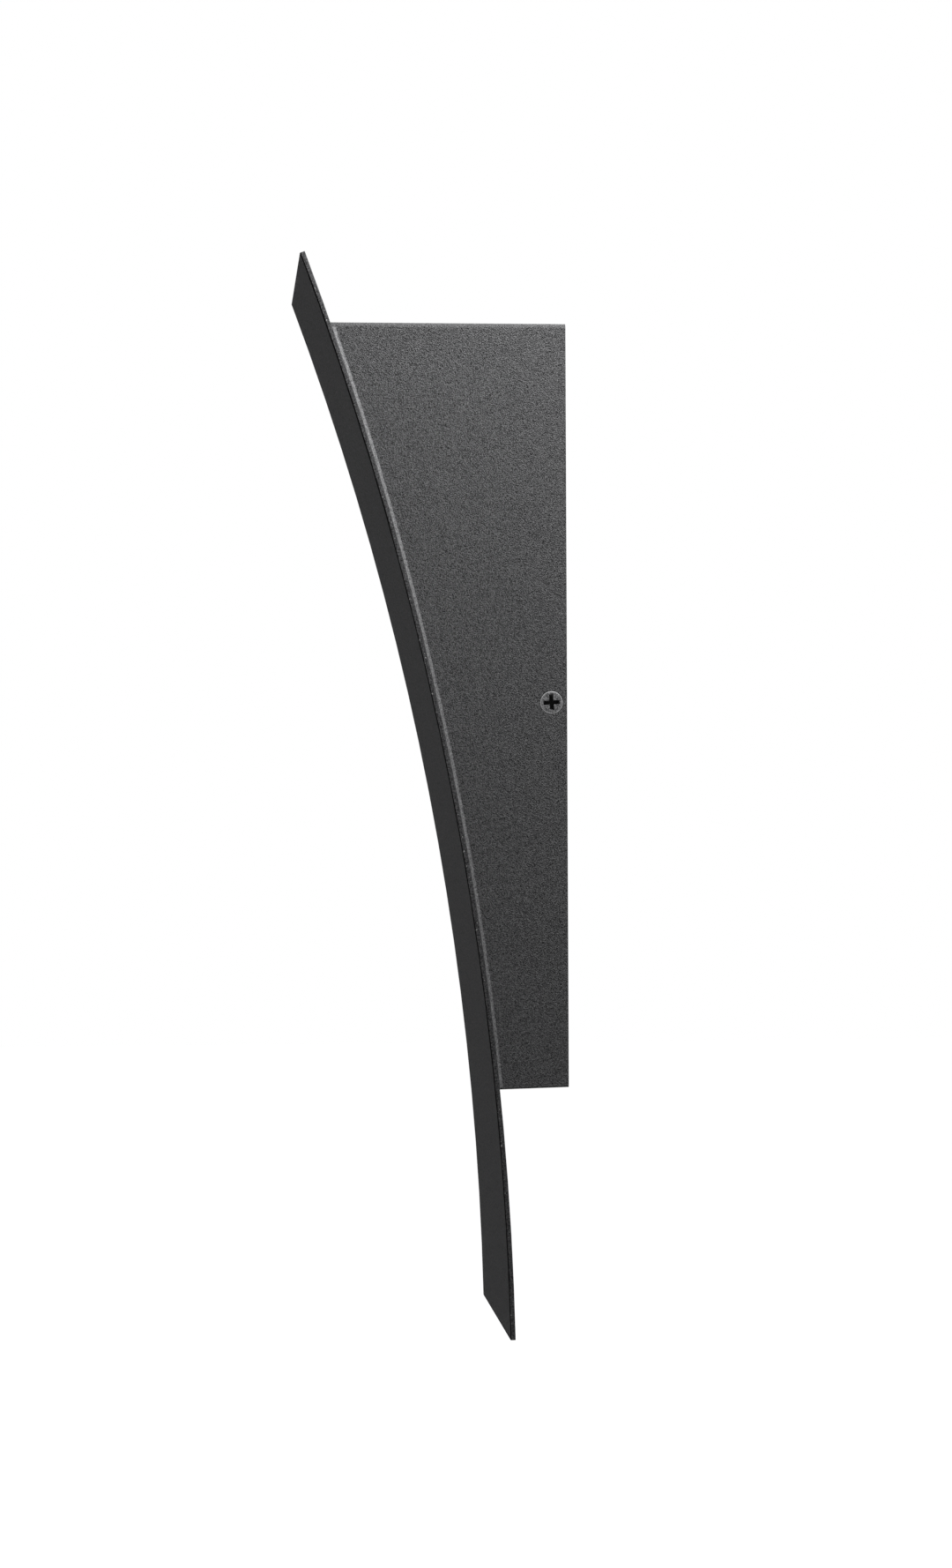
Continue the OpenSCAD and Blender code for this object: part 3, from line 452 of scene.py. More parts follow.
def stand_for(name, mesh, node):
    """Puts a mesh in the place of a node, with only the finishes that its faces use."""
    used = sorted({face.material_index for face in mesh.polygons})
    kept = [mesh.materials[index] for index in used]
    order = [used.index(face.material_index) for face in mesh.polygons]
    mesh.materials.clear()
    for finish in kept:
        mesh.materials.append(finish)
    mesh.polygons.foreach_set("material_index", order)
    mesh.name = name
    piece = bpy.data.objects.new(name, mesh)
    bpy.context.scene.collection.objects.link(piece)
    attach(piece, "root")
    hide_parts(node)
    return piece


def plain_mesh(holder):
    """What an object's modifiers make of it, as a mesh of its own. The holder goes."""
    graph = bpy.context.evaluated_depsgraph_get()
    mesh = bpy.data.meshes.new_from_object(holder.evaluated_get(graph))
    bpy.data.objects.remove(holder)
    return mesh


def new_tree(name, sizes, finishes):
    """A Geometry Nodes tree with named inputs for its sizes, in metres or as plain numbers,
    and for its finishes."""
    tree = bpy.data.node_groups.new(name, "GeometryNodeTree")
    tree.is_modifier = True
    tree.interface.new_socket("Geometry", in_out="INPUT", socket_type="NodeSocketGeometry")
    tree.interface.new_socket("Geometry", in_out="OUTPUT", socket_type="NodeSocketGeometry")
    for size in sizes:
        tree.interface.new_socket(size, in_out="INPUT", socket_type="NodeSocketFloat")
    for finish in finishes:
        tree.interface.new_socket(finish, in_out="INPUT", socket_type="NodeSocketMaterial")
    return tree, add(tree, "NodeGroupInput").outputs


def grow(tree, spots, axes, values, edges=()):
    """Runs a tree on points, which may each have an axis, and gives the mesh it makes."""
    base = bpy.data.meshes.new("spots")
    base.from_pydata(spots, edges, [])
    axis = base.attributes.new("axis", "FLOAT_VECTOR", "POINT")
    for i, value in enumerate(axes):
        axis.data[i].vector = value
    holder = bpy.data.objects.new("spots", base)
    bpy.context.scene.collection.objects.link(holder)
    modifier = holder.modifiers.new("tree", "NODES")
    modifier.node_group = tree
    for item in tree.interface.items_tree:
        if item.item_type == "SOCKET" and item.in_out == "INPUT" and item.name in values:
            modifier[item.identifier] = values[item.name]
    return plain_mesh(holder)


def instances_on_points(tree, given, shape, turn=None):
    """The end of a tree: its shape on every point, square to the point's axis. If the tree
    has a finish of its own, the whole shape gets it, and a recess may get another."""
    axis = add(tree, "GeometryNodeInputNamedAttribute", {"Name": "axis"}, data_type="FLOAT_VECTOR")
    placed = add(tree, "FunctionNodeAlignRotationToVector", {"Vector": axis.outputs[0]}, axis="Z")
    if turn is not None:
        placed = add(
            tree,
            "FunctionNodeRotateRotation",
            {"Rotation": placed, "Rotate By": turn},
            rotation_space="LOCAL",
        )
    each = add(
        tree,
        "GeometryNodeInstanceOnPoints",
        {"Points": given["Geometry"], "Instance": shape, "Rotation": placed},
    )
    last = add(tree, "GeometryNodeRealizeInstances", (each,))
    if "Finish" in given:
        last = add(tree, SET_MATERIAL, {"Geometry": last, "Material": given["Finish"]})
    if "Recess" in given:
        recess = add(tree, "GeometryNodeInputNamedAttribute", {"Name": "recess"})
        last = add(
            tree, SET_MATERIAL, {"Geometry": last, "Selection": recess, "Material": given["Recess"]}
        )
    add(tree, "NodeGroupOutput", {"Geometry": last})


# Screws, as a grid that is bent round an axis, row by row from the head's middle to the tip
HEAD_ROWS = 6
SCREW_SIDES = 28
TIP = 0.4 * MM
# As a share of the thread's pitch
THREAD_DEPTH = 0.45
# As a share of the shank's radius
END_CHAMFER = 0.3
# How much wider a recess is at its top, and narrower at its bottom, than halfway
RECESS_TAPER = 0.25


def screw_grid(tree, given):
    """A flat grid, with the row of each point, how far it goes round the axis in radians,
    and the number of rows along the shank, four to a turn of the thread."""
    turns = add(tree, MATH, (given["Shank Length"], given["Pitch"]), operation="DIVIDE")
    quarters = add(tree, MATH, (turns, 4), operation="MULTIPLY")
    shank_rows = add(tree, MATH, (quarters,), operation="CEIL")
    # The neck takes one row more, and the shank's end takes two.
    rows = add(tree, MATH, (shank_rows, HEAD_ROWS + 3), operation="ADD")
    rings = add(tree, MATH, (rows, 1), operation="ADD")
    grid = add(
        tree,
        "GeometryNodeMeshGrid",
        {"Size X": 1.0, "Size Y": 1.0, "Vertices X": SCREW_SIDES + 1, "Vertices Y": rings},
    )
    spot = add(tree, "GeometryNodeInputPosition")
    place = add(tree, SEPARATE, (spot,)).outputs
    from_side = add(tree, MATH, (place["X"], 0.5), operation="ADD")
    round_by = add(tree, MATH, (from_side, -2 * math.pi), operation="MULTIPLY")
    from_first = add(tree, MATH, (place["Y"], 0.5), operation="ADD")
    row = add(tree, MATH, (from_first, rows), operation="MULTIPLY")
    return grid, row, round_by, shank_rows


def thread_depth(tree, given, down, along, round_by):
    """How far the thread cuts in, from 0 on its crests, and nowhere at the shank's ends."""
    pitches = add(tree, MATH, (along, given["Pitch"]), operation="DIVIDE")
    turned = add(tree, MATH, (round_by, 2 * math.pi), operation="DIVIDE")
    wound = add(tree, MATH, (pitches, turned), operation="ADD")
    phase = add(tree, MATH, (wound,), operation="FRACT")
    from_crest = add(tree, MATH, (phase, 0.5), operation="SUBTRACT")
    flank = add(tree, MATH, (from_crest,), operation="ABSOLUTE")
    deepest = add(tree, MATH, (given["Pitch"], 2 * THREAD_DEPTH), operation="MULTIPLY")
    cut = add(tree, MATH, (flank, deepest), operation="MULTIPLY")
    for limit, operation in ((0.01, "GREATER_THAN"), (0.99, "LESS_THAN")):
        threaded = add(tree, MATH, (down, limit), operation=operation)
        cut = add(tree, MATH, (cut, threaded), operation="MULTIPLY")
    return cut


def screw_outline(tree, given, row, round_by, shank_rows):
    """How far a point is from the screw's axis, and how high it is over the head's seat."""
    dome = add(tree, MATH, (row, 1 / HEAD_ROWS), operation="MULTIPLY", use_clamp=True)
    neck = add(tree, MATH, (row, HEAD_ROWS), operation="SUBTRACT", use_clamp=True)
    past_neck = add(tree, MATH, (row, HEAD_ROWS + 1), operation="SUBTRACT")
    down = add(tree, MATH, (past_neck, shank_rows), operation="DIVIDE", use_clamp=True)
    past_shank = add(tree, MATH, (past_neck, shank_rows), operation="SUBTRACT")
    chamfer = add(tree, "ShaderNodeClamp", (past_shank,))
    closing = add(tree, MATH, (past_shank, 1), operation="SUBTRACT", use_clamp=True)

    # The head's outline is a quarter of an oval, and squarer the less its roundness is.
    lean = add(tree, MATH, (dome, math.pi / 2), operation="MULTIPLY")
    head = []
    for size, way in (("Head Radius", "SINE"), ("Head Height", "COSINE")):
        share = add(tree, MATH, (lean,), operation=way, use_clamp=True)
        share = add(tree, MATH, (share, given["Roundness"]), operation="POWER")
        head.append(add(tree, MATH, (given[size], share), operation="MULTIPLY"))
    radius, height = head

    shank = add(tree, MATH, (given["Shank Length"], given["Countersink"]), operation="SUBTRACT")
    run = add(tree, MATH, (shank, TIP), operation="SUBTRACT")
    along = add(tree, MATH, (down, run), operation="MULTIPLY")
    rim = add(tree, MATH, (given["Head Radius"], given["Shank Radius"]), operation="SUBTRACT")
    end = add(tree, MATH, (given["Shank Radius"], 1 - END_CHAMFER), operation="MULTIPLY")
    slope = add(tree, MATH, (given["Shank Radius"], END_CHAMFER), operation="MULTIPLY")
    for part in (
        add(tree, MATH, (neck, rim), operation="MULTIPLY"),
        thread_depth(tree, given, down, along, round_by),
        add(tree, MATH, (chamfer, slope), operation="MULTIPLY"),
        add(tree, MATH, (closing, end), operation="MULTIPLY"),
    ):
        radius = add(tree, MATH, (radius, part), operation="SUBTRACT")
    for part in (
        add(tree, MATH, (neck, given["Countersink"]), operation="MULTIPLY"),
        along,
        add(tree, MATH, (chamfer, TIP), operation="MULTIPLY"),
    ):
        height = add(tree, MATH, (height, part), operation="SUBTRACT")
    return radius, height


def recess_arms(tree, given):
    """The bars that cut a cross or a slot in a head. They widen upward, and mark the faces
    that they leave."""
    corner = add(tree, "GeometryNodeInputPosition")
    level = add(tree, SEPARATE, (corner,)).outputs["Z"]
    side = add(tree, MATH, (level,), operation="SIGN")
    taper = add(tree, MATH, (side, RECESS_TAPER, 1), operation="MULTIPLY_ADD")
    scale = add(tree, COMBINE, (taper, taper, 1.0))
    tapered = add(tree, VECTOR_MATH, (corner, scale), operation="MULTIPLY")
    lift = add(tree, COMBINE, {"Z": given["Head Height"]})
    tall = add(tree, MATH, (given["Slot Depth"], 2), operation="MULTIPLY")
    arms = []
    for length, width in (("Slot Length", "Slot Width"), ("Slot Width", "Cross Length")):
        size = add(tree, COMBINE, (given[length], given[width], tall))
        bar = add(tree, "GeometryNodeMeshCube", {"Size": size})
        bar = add(
            tree, "GeometryNodeSetPosition", {"Geometry": bar, "Position": tapered, "Offset": lift}
        )
        bar = add(
            tree,
            "GeometryNodeStoreNamedAttribute",
            {"Geometry": bar, "Name": "recess", "Value": 1.0},
            data_type="FLOAT",
            domain="FACE",
        )
        arms.append(bar)
    return arms


def screw_tree():
    """Screws: a domed or countersunk head with a cross or slot in it, and a threaded
    shank."""
    tree, given = new_tree(
        "screws",
        (
            "Head Radius", "Head Height", "Roundness", "Countersink", "Shank Radius",
            "Shank Length", "Pitch", "Slot Length", "Cross Length", "Slot Width",
            "Slot Depth", "Turn", "Loose Turn",
        ),
        ("Finish", "Recess"),
    )
    grid, row, round_by, shank_rows = screw_grid(tree, given)
    radius, height = screw_outline(tree, given, row, round_by, shank_rows)
    bent = {"Z": height}
    for axis, way in (("X", "COSINE"), ("Y", "SINE")):
        share = add(tree, MATH, (round_by,), operation=way)
        bent[axis] = add(tree, MATH, (radius, share), operation="MULTIPLY")
    place = add(tree, COMBINE, bent)
    skin = add(tree, "GeometryNodeSetPosition", {"Geometry": grid, "Position": place})
    closed = add(tree, "GeometryNodeMergeByDistance", {"Geometry": skin, "Distance": 1e-6})
    cut = add(
        tree,
        BOOLEAN,
        {"Mesh 1": closed, "Mesh 2": recess_arms(tree, given)},
        operation="DIFFERENCE",
        solver="EXACT",
    )
    # Sockets 2 and 3 are the least and the most of a random number.
    loose = add(
        tree,
        "FunctionNodeRandomValue",
        {2: 0.0, 3: given["Loose Turn"], "Seed": 7},
        data_type="FLOAT",
    )
    own_turn = add(tree, MATH, (given["Turn"], loose.outputs[1]), operation="ADD")
    turn = add(tree, COMBINE, {"Z": own_turn})
    instances_on_points(tree, given, cut, turn)
    return tree


SCREWS = screw_tree()
# Sizes in mm, but for the roundness and for the turns, in radians
SMALL_SCREW = {
    "Head Radius": 2.75, "Head Height": 1.8, "Roundness": 0.6, "Countersink": 0.0,
    "Shank Radius": 1.5, "Pitch": 0.7, "Slot Length": 3.2, "Cross Length": 3.2,
    "Slot Width": 0.7, "Slot Depth": 1.1, "Turn": 0.0, "Loose Turn": 6.283,
}
NOT_IN_MM = ("Roundness", "Turn", "Loose Turn")


def screws(name, node, axis_at, length=None, recess=None, **changes):
    """Screws in the place of a node's, with heads toward the axis that axis_at gives. The
    length is only named where the axis is aslant, and the boxes don't tell it."""
    sizes = dict(SMALL_SCREW, **changes)
    spots, axes = [], []
    for low, high in loose_parts(node):
        middle = (low + high) / 2
        axis = Vector(axis_at(middle)).normalized()
        reach = sum(abs(a) * size for a, size in zip(axis, high - low)) / 2
        reach = length * MM / 2 if length else reach
        spots.append(middle + axis * (reach - sizes["Head Height"] * MM))
        axes.append(axis)
        sizes["Shank Length"] = 2 * reach / MM - sizes["Head Height"]
    values = {key: size if key in NOT_IN_MM else size * MM for key, size in sizes.items()}
    values["Finish"] = FINISHES[slot_of[node]]
    values["Recess"] = recess or values["Finish"]
    settle(name, grow(SCREWS, spots, axes, values), node)


def up_or_down(middle):
    """Up for a screw in the upper half, and down for one in the lower half."""
    return (0, 0, 1 if middle.z > 0 else -1)


# The bottom window leans 1.5 degrees off level.
BOTTOM_AXIS = (0, -0.0262, 1)
screws("top_frame_pan_screws", "top_frame_screws", lambda middle: (0, 0, -1))
screws("bottom_frame_pan_screws", "bottom_frame_screws", lambda middle: BOTTOM_AXIS)
screws("shelf_pan_screws", "shelf_screws", up_or_down)
screws("board_pan_screws", "board_screws", up_or_down)
screws("driver_pan_screws", "driver_screws", lambda middle: (0, 1, 0))
screws("block_pan_screws", "block_screws", lambda middle: (0, 1, 0))
screws("earth_lug_pan_screw", "earth_lug_screw", lambda middle: (0, 1, 0))
screws("plate_earth_pan_screw", "plate_earth_screw", lambda middle: (0, -1, 0))
SIDE_SCREW = {
    "Head Radius": 4.38, "Head Height": 0.4, "Roundness": 0.4, "Countersink": 2.0,
    "Shank Radius": 2.5, "Pitch": 0.8, "Slot Length": 6.4, "Cross Length": 6.4,
    "Slot Width": 1.65, "Slot Depth": 2.0, "Turn": math.radians(4), "Loose Turn": 0.0,
}
screws(
    "countersunk_side_screws",
    "side_screws",
    lambda middle: (math.copysign(1, middle.x), 0, 0),
    recess=screw_recess,
    **SIDE_SCREW,
)


# The shield's studs, and the nuts on them
BEND_CENTRE = Vector((0.0, -1299.7, -271.3)) * MM


def square_to_shield(middle):
    """The way from the shield's face into the housing, at a point behind it."""
    way = middle - BEND_CENTRE
    return Vector((0, way.y, way.z)).normalized()


screws(
    "threaded_weld_studs",
    "shield_studs",
    lambda middle: -square_to_shield(middle),
    length=9,
    **{
        "Head Radius": 2.0, "Head Height": 0.3, "Shank Radius": 1.94, "Slot Length": 0.4,
        "Cross Length": 0.4, "Slot Width": 0.4, "Slot Depth": 0.1,
    },
)
screws(
    "slotted_clamp_screws",
    "terminal_screws",
    lambda middle: (0, 1, 0),
    **{
        "Head Radius": 2.2, "Head Height": 1.7, "Roundness": 0.25, "Shank Radius": 1.7,
        "Pitch": 0.5, "Slot Length": 5.0, "Cross Length": 0.7, "Slot Depth": 0.95,
    },
)


def nut_tree():
    """Hexagon nuts: a hexagon that a flattened ball rounds off at its corners, with a
    bore whose mouths are countersunk."""
    tree, given = new_tree("nuts", ("Across Flats", "Height", "Bore Radius"), ("Finish",))
    bore_sides, past_face = 32, 0.2 * MM
    corner = add(tree, MATH, (given["Across Flats"], 3**0.5), operation="DIVIDE")
    prism = add(
        tree,
        "GeometryNodeMeshCylinder",
        {"Vertices": 6, "Radius": corner, "Depth": given["Height"]},
    )
    # The ball meets the nut's faces on a circle that just fits between its flats.
    reach = add(tree, MATH, (corner, 1.01), operation="MULTIPLY")
    ball = add(tree, "GeometryNodeMeshUVSphere", {"Segments": 48, "Rings": 24, "Radius": reach})
    flat = add(tree, MATH, (given["Height"], corner), operation="DIVIDE")
    squash = add(tree, MATH, (flat, 0.87), operation="MULTIPLY")
    scale = add(tree, COMBINE, (1.0, 1.0, squash))
    flattened = add(tree, TRANSFORM, {"Geometry": ball, "Scale": scale})
    rounded = add(
        tree, BOOLEAN, {"Mesh 2": [prism, flattened]}, operation="INTERSECT", solver="EXACT"
    )
    through = add(tree, MATH, (given["Height"], 2), operation="MULTIPLY")
    cutters = [
        add(
            tree,
            "GeometryNodeMeshCylinder",
            {"Vertices": bore_sides, "Radius": given["Bore Radius"], "Depth": through},
        )
    ]
    # A cone stands on its base, which goes a little past the nut's face.
    mouth = add(tree, MATH, (given["Bore Radius"], 1.5), operation="MULTIPLY")
    cone = add(
        tree,
        "GeometryNodeMeshCone",
        {"Vertices": bore_sides, "Radius Top": 0.0, "Radius Bottom": mouth, "Depth": mouth},
    )
    for side, turn in ((-1, 0.0), (1, math.pi)):
        lift = add(
            tree, MATH, (given["Height"], side / 2, side * past_face), operation="MULTIPLY_ADD"
        )
        place = add(tree, COMBINE, {"Z": lift})
        cutters.append(
            add(
                tree,
                TRANSFORM,
                {"Geometry": cone, "Translation": place, "Rotation": (turn, 0.0, 0.0)},
            )
        )
    bored = add(
        tree,
        BOOLEAN,
        {"Mesh 1": rounded, "Mesh 2": cutters},
        operation="DIFFERENCE",
        solver="EXACT",
    )
    # The bore and its mouths meet in slivers, which close up when near points merge.
    merged = add(tree, "GeometryNodeMergeByDistance", {"Geometry": bored, "Distance": 2e-6})
    instances_on_points(tree, given, merged)
    return tree


middles = [(low + high) / 2 for low, high in loose_parts("shield_nuts")]
settle(
    "hexagon_nuts",
    grow(
        nut_tree(),
        middles,
        [square_to_shield(middle) for middle in middles],
        {
            "Across Flats": 7 * MM,
            "Height": 3.2 * MM,
            "Bore Radius": 2.05 * MM,
            "Finish": FINISHES["steel_fasteners"],
        },
    ),
    "shield_nuts",
    25,
)


def lamp_tree():
    """Surface-mount lamps: a white body with a round cup of yellow gel in its face, on
    two tinned ends."""
    tree, given = new_tree("lamps", ("Length", "Width", "Height"), ("Body", "Gel", "Ends"))
    # Sizes and places, as shares of the lamp's length, width and height
    body_size, end_size = (0.94, 1, 1), (0.16, 0.8, 0.3)
    cup_place, end_places = (0, 0, 0.2), ((-0.42, 0, -0.35), (0.42, 0, -0.35))
    whole = add(tree, COMBINE, (given["Length"], given["Width"], given["Height"]))
    block, end = (
        add(
            tree,
            "GeometryNodeMeshCube",
            {"Size": add(tree, VECTOR_MATH, (whole, shares), operation="MULTIPLY")},
        )
        for shares in (body_size, end_size)
    )
    cup_radius = add(tree, MATH, (given["Width"], 0.41), operation="MULTIPLY")
    cup_floor = add(tree, MATH, (cup_radius, 0.8), operation="MULTIPLY")
    cup_depth = add(tree, MATH, (given["Height"], 0.35), operation="MULTIPLY")
    cup = add(
        tree,
        "GeometryNodeMeshCone",
        {"Vertices": 20, "Radius Top": cup_radius, "Radius Bottom": cup_floor, "Depth": cup_depth},
    )
    sunk = add(tree, VECTOR_MATH, (whole, cup_place), operation="MULTIPLY")
    seat = add(tree, TRANSFORM, {"Geometry": cup, "Translation": sunk})
    body = add(
        tree, BOOLEAN, {"Mesh 1": block, "Mesh 2": [seat]}, operation="DIFFERENCE", solver="EXACT"
    )
    ball = add(tree, "GeometryNodeMeshUVSphere", {"Segments": 20, "Rings": 8, "Radius": cup_radius})
    # The gel is a low dome, a little narrower than the cup.
    gel = add(tree, TRANSFORM, {"Geometry": ball, "Translation": sunk, "Scale": (0.9, 0.9, 0.16)})
    shapes = [(body, "Body"), (gel, "Gel")]
    for place in end_places:
        out = add(tree, VECTOR_MATH, (whole, place), operation="MULTIPLY")
        moved = add(tree, TRANSFORM, {"Geometry": end, "Translation": out})
        shapes.append((moved, "Ends"))
    parts = [
        add(tree, SET_MATERIAL, {"Geometry": shape, "Material": given[finish]})
        for shape, finish in shapes
    ]
    instances_on_points(tree, given, add(tree, "GeometryNodeJoinGeometry", (parts,)))
    return tree


LAMPS = lamp_tree()
for name, node, way in (
    ("upper_chip_lamps", "upper_lamps", 1),
    ("lower_chip_lamps", "lower_lamps", -1),
):
    middles = [(low + high) / 2 for low, high in loose_parts(node)]
    values = {
        "Length": 3.5 * MM,
        "Width": 2.8 * MM,
        "Height": 0.8 * MM,
        "Body": lamp_body,
        "Gel": FINISHES["lamp_yellow"],
        "Ends": FINISHES["tinned_lug"],
    }
    settle(name, grow(LAMPS, middles, [(0, 0, way)] * len(middles), values), node, 30)


# The five leads inside
def smooth_route(points, steps):
    """A smooth line through a route's points in mm, given in metres."""
    points = [Vector(point) * MM for point in points]
    padded = [2 * points[0] - points[1], *points, 2 * points[-1] - points[-2]]
    line = []
    for before, start, end, after in zip(padded, padded[1:], padded[2:], padded[3:]):
        for step in range(steps):
            t = step / steps
            line.append(
                start
                + t * (end - before) / 2
                + t**2 * (before - 2.5 * start + 2 * end - after / 2)
                + t**3 * (3 * start - before - 3 * end + after) / 2
            )
    return line + [points[-1]]


def lead_tree():
    """A round lead along a line, which notes where its surface is round it and along it."""
    tree, given = new_tree("leads", ("Radius",), ("Finish",))
    line = add(tree, "GeometryNodeMeshToCurve", (given["Geometry"],))
    way = add(tree, "GeometryNodeSplineParameter")
    ring = add(
        tree, "GeometryNodeCurvePrimitiveCircle", {"Resolution": 16, "Radius": given["Radius"]}
    )
    ring_spot = add(tree, "GeometryNodeInputPosition")
    captured = []
    for curve, kind, value in (
        (line, "FLOAT", way.outputs["Length"]),
        (ring, "VECTOR", ring_spot.outputs[0]),
    ):
        noted = add(tree, "GeometryNodeCaptureAttribute", (curve,))
        noted.capture_items.new(kind, "Place")
        tree.links.new(value, noted.inputs[1])
        captured.append(noted.outputs)
    along, ring_round = captured
    tube = add(
        tree,
        "GeometryNodeCurveToMesh",
        {"Curve": along[0], "Profile Curve": ring_round[0], "Fill Caps": True},
    )
    place = add(tree, SEPARATE, (ring_round[1],)).outputs
    weave = add(tree, COMBINE, (place["X"], place["Y"], along[1]))
    kept = add(
        tree,
        "GeometryNodeStoreNamedAttribute",
        {"Geometry": tube, "Name": "weave", "Value": weave},
        data_type="FLOAT_VECTOR",
        domain="POINT",
    )
    real = add(tree, "GeometryNodeRealizeInstances", (kept,))
    done = add(tree, SET_MATERIAL, {"Geometry": real, "Material": given["Finish"]})
    add(tree, "NodeGroupOutput", {"Geometry": done})
    return tree


LEADS = lead_tree()
# Their routes in mm, as in the part's source.
UPPER_ROUTE = (
    (-20, -31.05, 80), (-20, -31.05, 85.92), (-20, -29, 91.84), (-20, -24, 97.76),
    (-20, -18, 102.2), (-20, -14, 106.64), (-20, -14, 109.6),
)
LOWER_ROUTE = (
    (40, -31.05, 38), (40, -31.05, 31.47), (43, -30, 21.67), (47, -30, 13.5), (49, -30, 3.71),
    (50, -29, -7.72), (50, -28, -17.52), (50, -27, -27.32), (51, -26, -37.12), (52, -24, -46.92),
    (52, -22, -56.71), (51, -20, -66.51), (48, -18, -76.31), (43, -15, -86.11), (36, -12, -94.27),
    (28, -10, -102.44), (22, -8, -110.6), (20, -8, -118.77), (20, -8, -125.3),
)
LIVE_ROUTE = (
    (-11, -25.22, -68), (-11, -25.22, -58), (-13, -25, -52), (-18, -26, -47), (-25, -27, -43),
    (-32, -27, -39), (-38, -28, -34), (-43, -29, -28), (-46, -29, -21), (-48, -30, -14),
    (-49, -30, -7), (-49, -30, 0), (-48, -30, 7), (-47, -30, 14), (-45, -30, 21), (-43, -31, 28),
    (-41.5, -31.05, 34), (-41.5, -31.05, 38),
)
NEUTRAL_ROUTE = (
    (0, -25.22, -68), (0, -25.22, -58), (-1, -25, -51), (-5, -26, -45), (-11, -27, -41),
    (-18, -27, -38), (-25, -27, -35), (-32, -28, -31), (-38, -29, -26), (-42, -29, -19),
    (-44, -30, -12), (-45, -30, -5), (-45, -30, 2), (-44, -30, 9), (-43, -30, 16), (-41, -30, 22),
    (-39, -31, 28), (-38.5, -31.05, 34), (-38.5, -31.05, 38),
)
EARTH_ROUTE = (
    (11, -25.22, -68), (11, -25.22, -58), (13, -26, -53), (16.2, -27, -50), (22.2, -29, -50),
    (27.2, -31, -50), (31.2, -31.63, -50), (35.2, -31.63, -50),
)


def lead(name, node, points, steps, radius, finish):
    """A lead on its route."""
    line = smooth_route(points, steps)
    edges = [(i, i + 1) for i in range(len(line) - 1)]
    values = {"Radius": radius * MM, "Finish": finish}
    mesh = grow(LEADS, line, (), values, edges)
    piece = settle(name, mesh, node)


sleeve = FINISHES["sleeve_white"]
lead("upper_sleeved_lead", "upper_lead", UPPER_ROUTE, 3, 1.8, sleeve)
lead("lower_sleeved_lead", "lower_lead", LOWER_ROUTE, 2, 1.8, sleeve)
lead("live_core", "live_lead", LIVE_ROUTE, 2, 1.2, FINISHES["core_black"])
lead("neutral_core", "neutral_lead", NEUTRAL_ROUTE, 2, 1.2, FINISHES["core_white"])
lead("earth_core", "earth_lead", EARTH_ROUTE, 3, 1.2, FINISHES["core_green"])


# Parts whose edges are broken or moulded round
def soften(name, node, edge):
    """A copy of a node whose sharp edges are rounded over, by so many millimetres, with
    the same flat faces."""
    shape = bmesh.new()
    shape.from_mesh(nodes[node].data)
    bmesh.ops.remove_doubles(shape, verts=shape.verts, dist=1e-6)
    bmesh.ops.dissolve_limit(
        shape, angle_limit=math.radians(0.5), verts=shape.verts, edges=shape.edges
    )
    spots = [vert.co[:] for vert in shape.verts]
    shape.verts.index_update()
    faces = [[vert.index for vert in face.verts] for face in shape.faces]
    shape.free()
    mesh = bpy.data.meshes.new(name)
    mesh.from_pydata(spots, [], faces)
    mesh.materials.append(nodes[node].data.materials[0])
    mesh.shade_smooth()
    holder = bpy.data.objects.new(name, mesh)
    bpy.context.scene.collection.objects.link(holder)
    bevel = holder.modifiers.new("edges", "BEVEL")
    bevel.width = edge * MM
    bevel.segments = 2
    bevel.limit_method = "ANGLE"
    bevel.angle_limit = math.radians(35)
    holder.modifiers.new("flats", "WEIGHTED_NORMAL")
    stand_for(name, plain_mesh(holder), node)


for name, node, edge in (
    ("moulded_terminal_block", "terminal_block", 0.35),
    ("moulded_driver_case", "driver_case", 0.8),
    ("moulded_driver_lid", "driver_lid", 0.35),
    ("moulded_board_sockets", "board_sockets", 0.25),
    ("rubber_grommets", "driver_grommets", 0.5),
    ("cut_mounting_foam", "mounting_foam", 0.5),
    ("pressed_mounting_plate", "mounting_plate", 0.25),
    ("pressed_top_frame", "top_lens_frame", 0.25),
    ("pressed_bottom_frame", "bottom_lens_frame", 0.25),
    ("moulded_top_seal", "top_lens_seal", 0.3),
    ("moulded_bottom_seal", "bottom_lens_seal", 0.3),
    ("moulded_top_lens", "top_lens", 0.4),
    ("moulded_bottom_lens", "bottom_lens", 0.4),
    ("bent_upper_shelf", "upper_shelf", 0.2),
    ("bent_lower_shelf", "lower_shelf", 0.2),
    ("routed_upper_board", "upper_lamp_board", 0.15),
    ("routed_lower_board", "lower_lamp_board", 0.15),
    ("crimped_earth_lug", "earth_lug", 0.15),
    ("stamped_washers", "shield_washers", 0.15),
):
    soften(name, node, edge)


# Floor, lamps and the white surround
def seen_directly(tree):
    """1 where the eye, a gloss or a clear thing looks, and 0 for light on the object."""
    path = add(tree, "ShaderNodeLightPath").outputs
    seen = path["Is Camera Ray"]
    for ray in ("Is Glossy Ray", "Is Transmission Ray"):
        seen = add(tree, MATH, (seen, path[ray]), operation="MAXIMUM")
    return seen


def make_surround():
    """A white studio round the object, which lights it softly."""
    world = bpy.data.worlds.new("soft_studio")
    bpy.context.scene.world = world
    world.use_nodes = True
    tree = world.node_tree
    tree.nodes.clear()
    soft = add(tree, "ShaderNodeBackground", {"Color": (1, 1, 1, 1), "Strength": 0.025})
    white = add(tree, "ShaderNodeBackground", {"Color": (1, 1, 1, 1), "Strength": 1.0})
    mix = add(tree, "ShaderNodeMixShader", (seen_directly(tree), soft, white))
    add(tree, "ShaderNodeOutputWorld", {"Surface": mix})


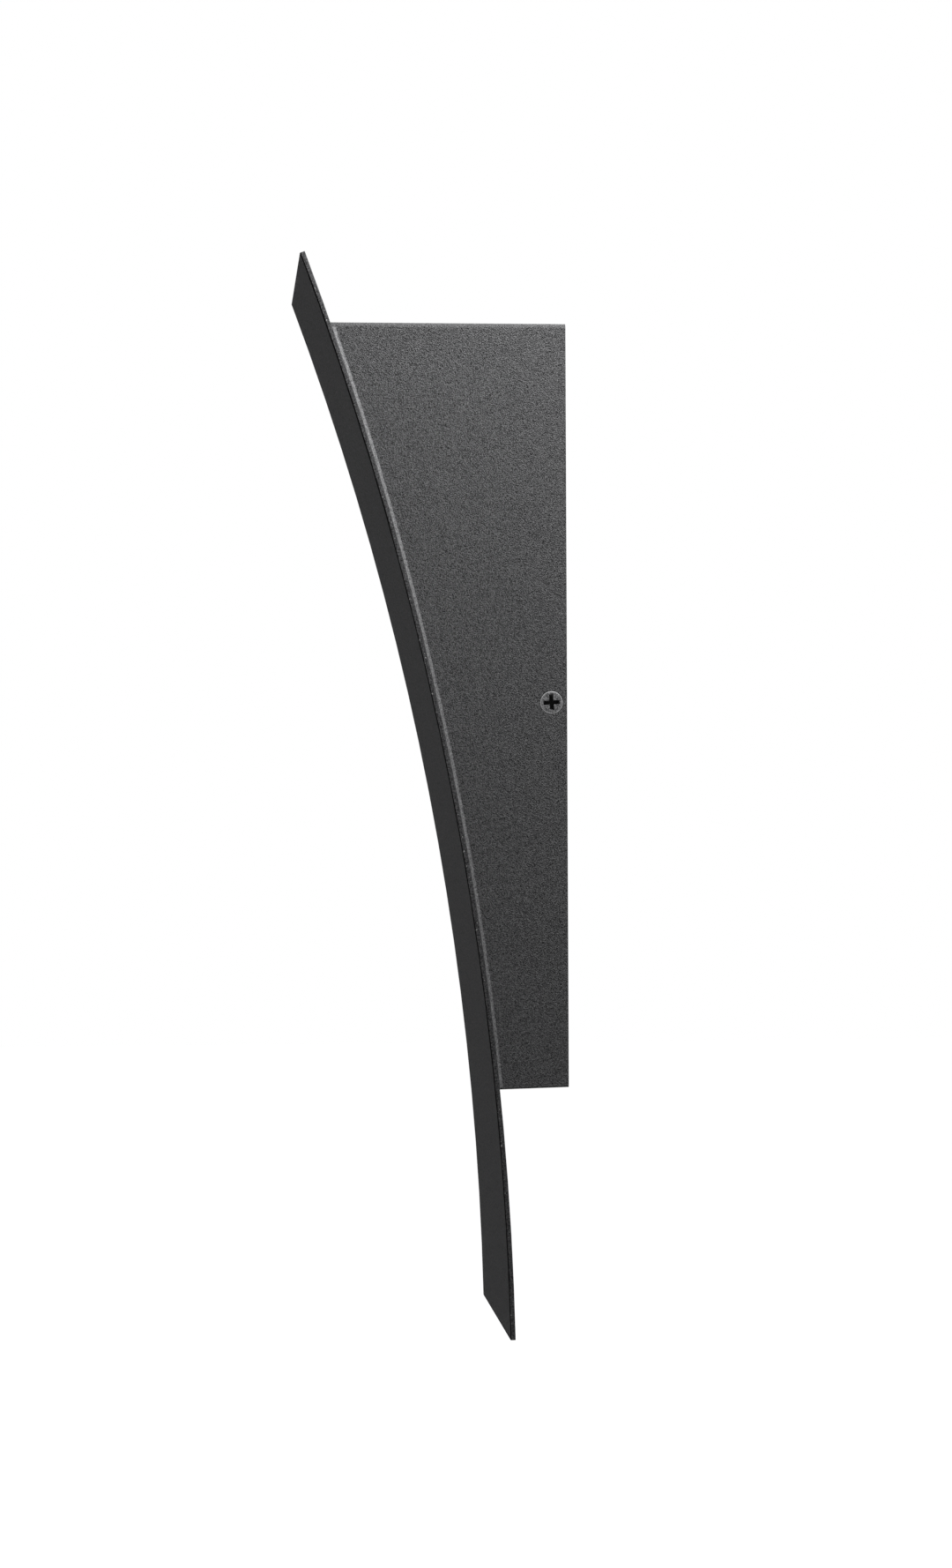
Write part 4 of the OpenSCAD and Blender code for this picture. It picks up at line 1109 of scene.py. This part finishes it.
def make_floor():
    """A pale floor under the object, which fades to white away from it."""
    reach, height = 6.0, -0.52
    mesh = bpy.data.meshes.new("floor")
    corners = [(x, y, height) for x, y in ((-1, -1), (1, -1), (1, 1), (-1, 1))]
    mesh.from_pydata([(x * reach, y * reach, z) for x, y, z in corners], [], [(0, 1, 2, 3)])
    floor = bpy.data.objects.new("floor", mesh)
    bpy.context.scene.collection.objects.link(floor)
    material, tree, shader, place = new_material("pale_floor", 0.9, 0.0)
    shader.inputs["Base Color"].default_value = linear("#e6e6e6")
    shader.inputs["Emission Color"].default_value = (1, 1, 1, 1)
    away = add(tree, VECTOR_MATH, (place,), operation="LENGTH").outputs["Value"]
    fade = add(
        tree,
        RANGE,
        {"Value": away, "From Min": 0.6, "From Max": 1.4, "To Min": 0.65, "To Max": 1.0},
    )
    glow = add(tree, MATH, (seen_directly(tree), fade), operation="MULTIPLY")
    tree.links.new(glow.outputs[0], shader.inputs["Emission Strength"])
    # From below, the floor lets the eye through.
    below = add(tree, "ShaderNodeNewGeometry").outputs["Backfacing"]
    clear = add(tree, "ShaderNodeBsdfTransparent")
    both = add(tree, "ShaderNodeMixShader", (below, shader.outputs["BSDF"], clear))
    surface = next(node for node in tree.nodes if node.type == "OUTPUT_MATERIAL")
    tree.links.new(both.outputs[0], surface.inputs["Surface"])
    mesh.materials.append(material)


def make_lamp(name, place, aim, size, watts):
    """A round soft lamp that the camera doesn't see."""
    data = bpy.data.lights.new(name, "AREA")
    data.shape = "DISK"
    data.size = size
    data.energy = watts
    lamp = bpy.data.objects.new(name, data)
    bpy.context.scene.collection.objects.link(lamp)
    way = Vector(aim) - Vector(place)
    lamp.matrix_world = Matrix.Translation(place) @ way.to_track_quat("-Z", "Y").to_matrix().to_4x4()
    lamp.visible_camera = False


make_surround()
make_floor()
# A small lamp high on the camera's side, a wide one in front and a stronger one behind
make_lamp("key_lamp", (0.24, 0.105, 0.475), (0.06, -0.03, 0.14), 0.1, 4.3)
make_lamp("front_panel", (0.0, -1.5, 0.0), (0.0, 0.0, -0.03), 1.2, 1.78)
make_lamp("back_panel", (-0.95, 1.18, 0.2), (0.0, 0.0, 0.0), 1.0, 17.0)
bpy.context.scene.view_settings.view_transform = "Standard"
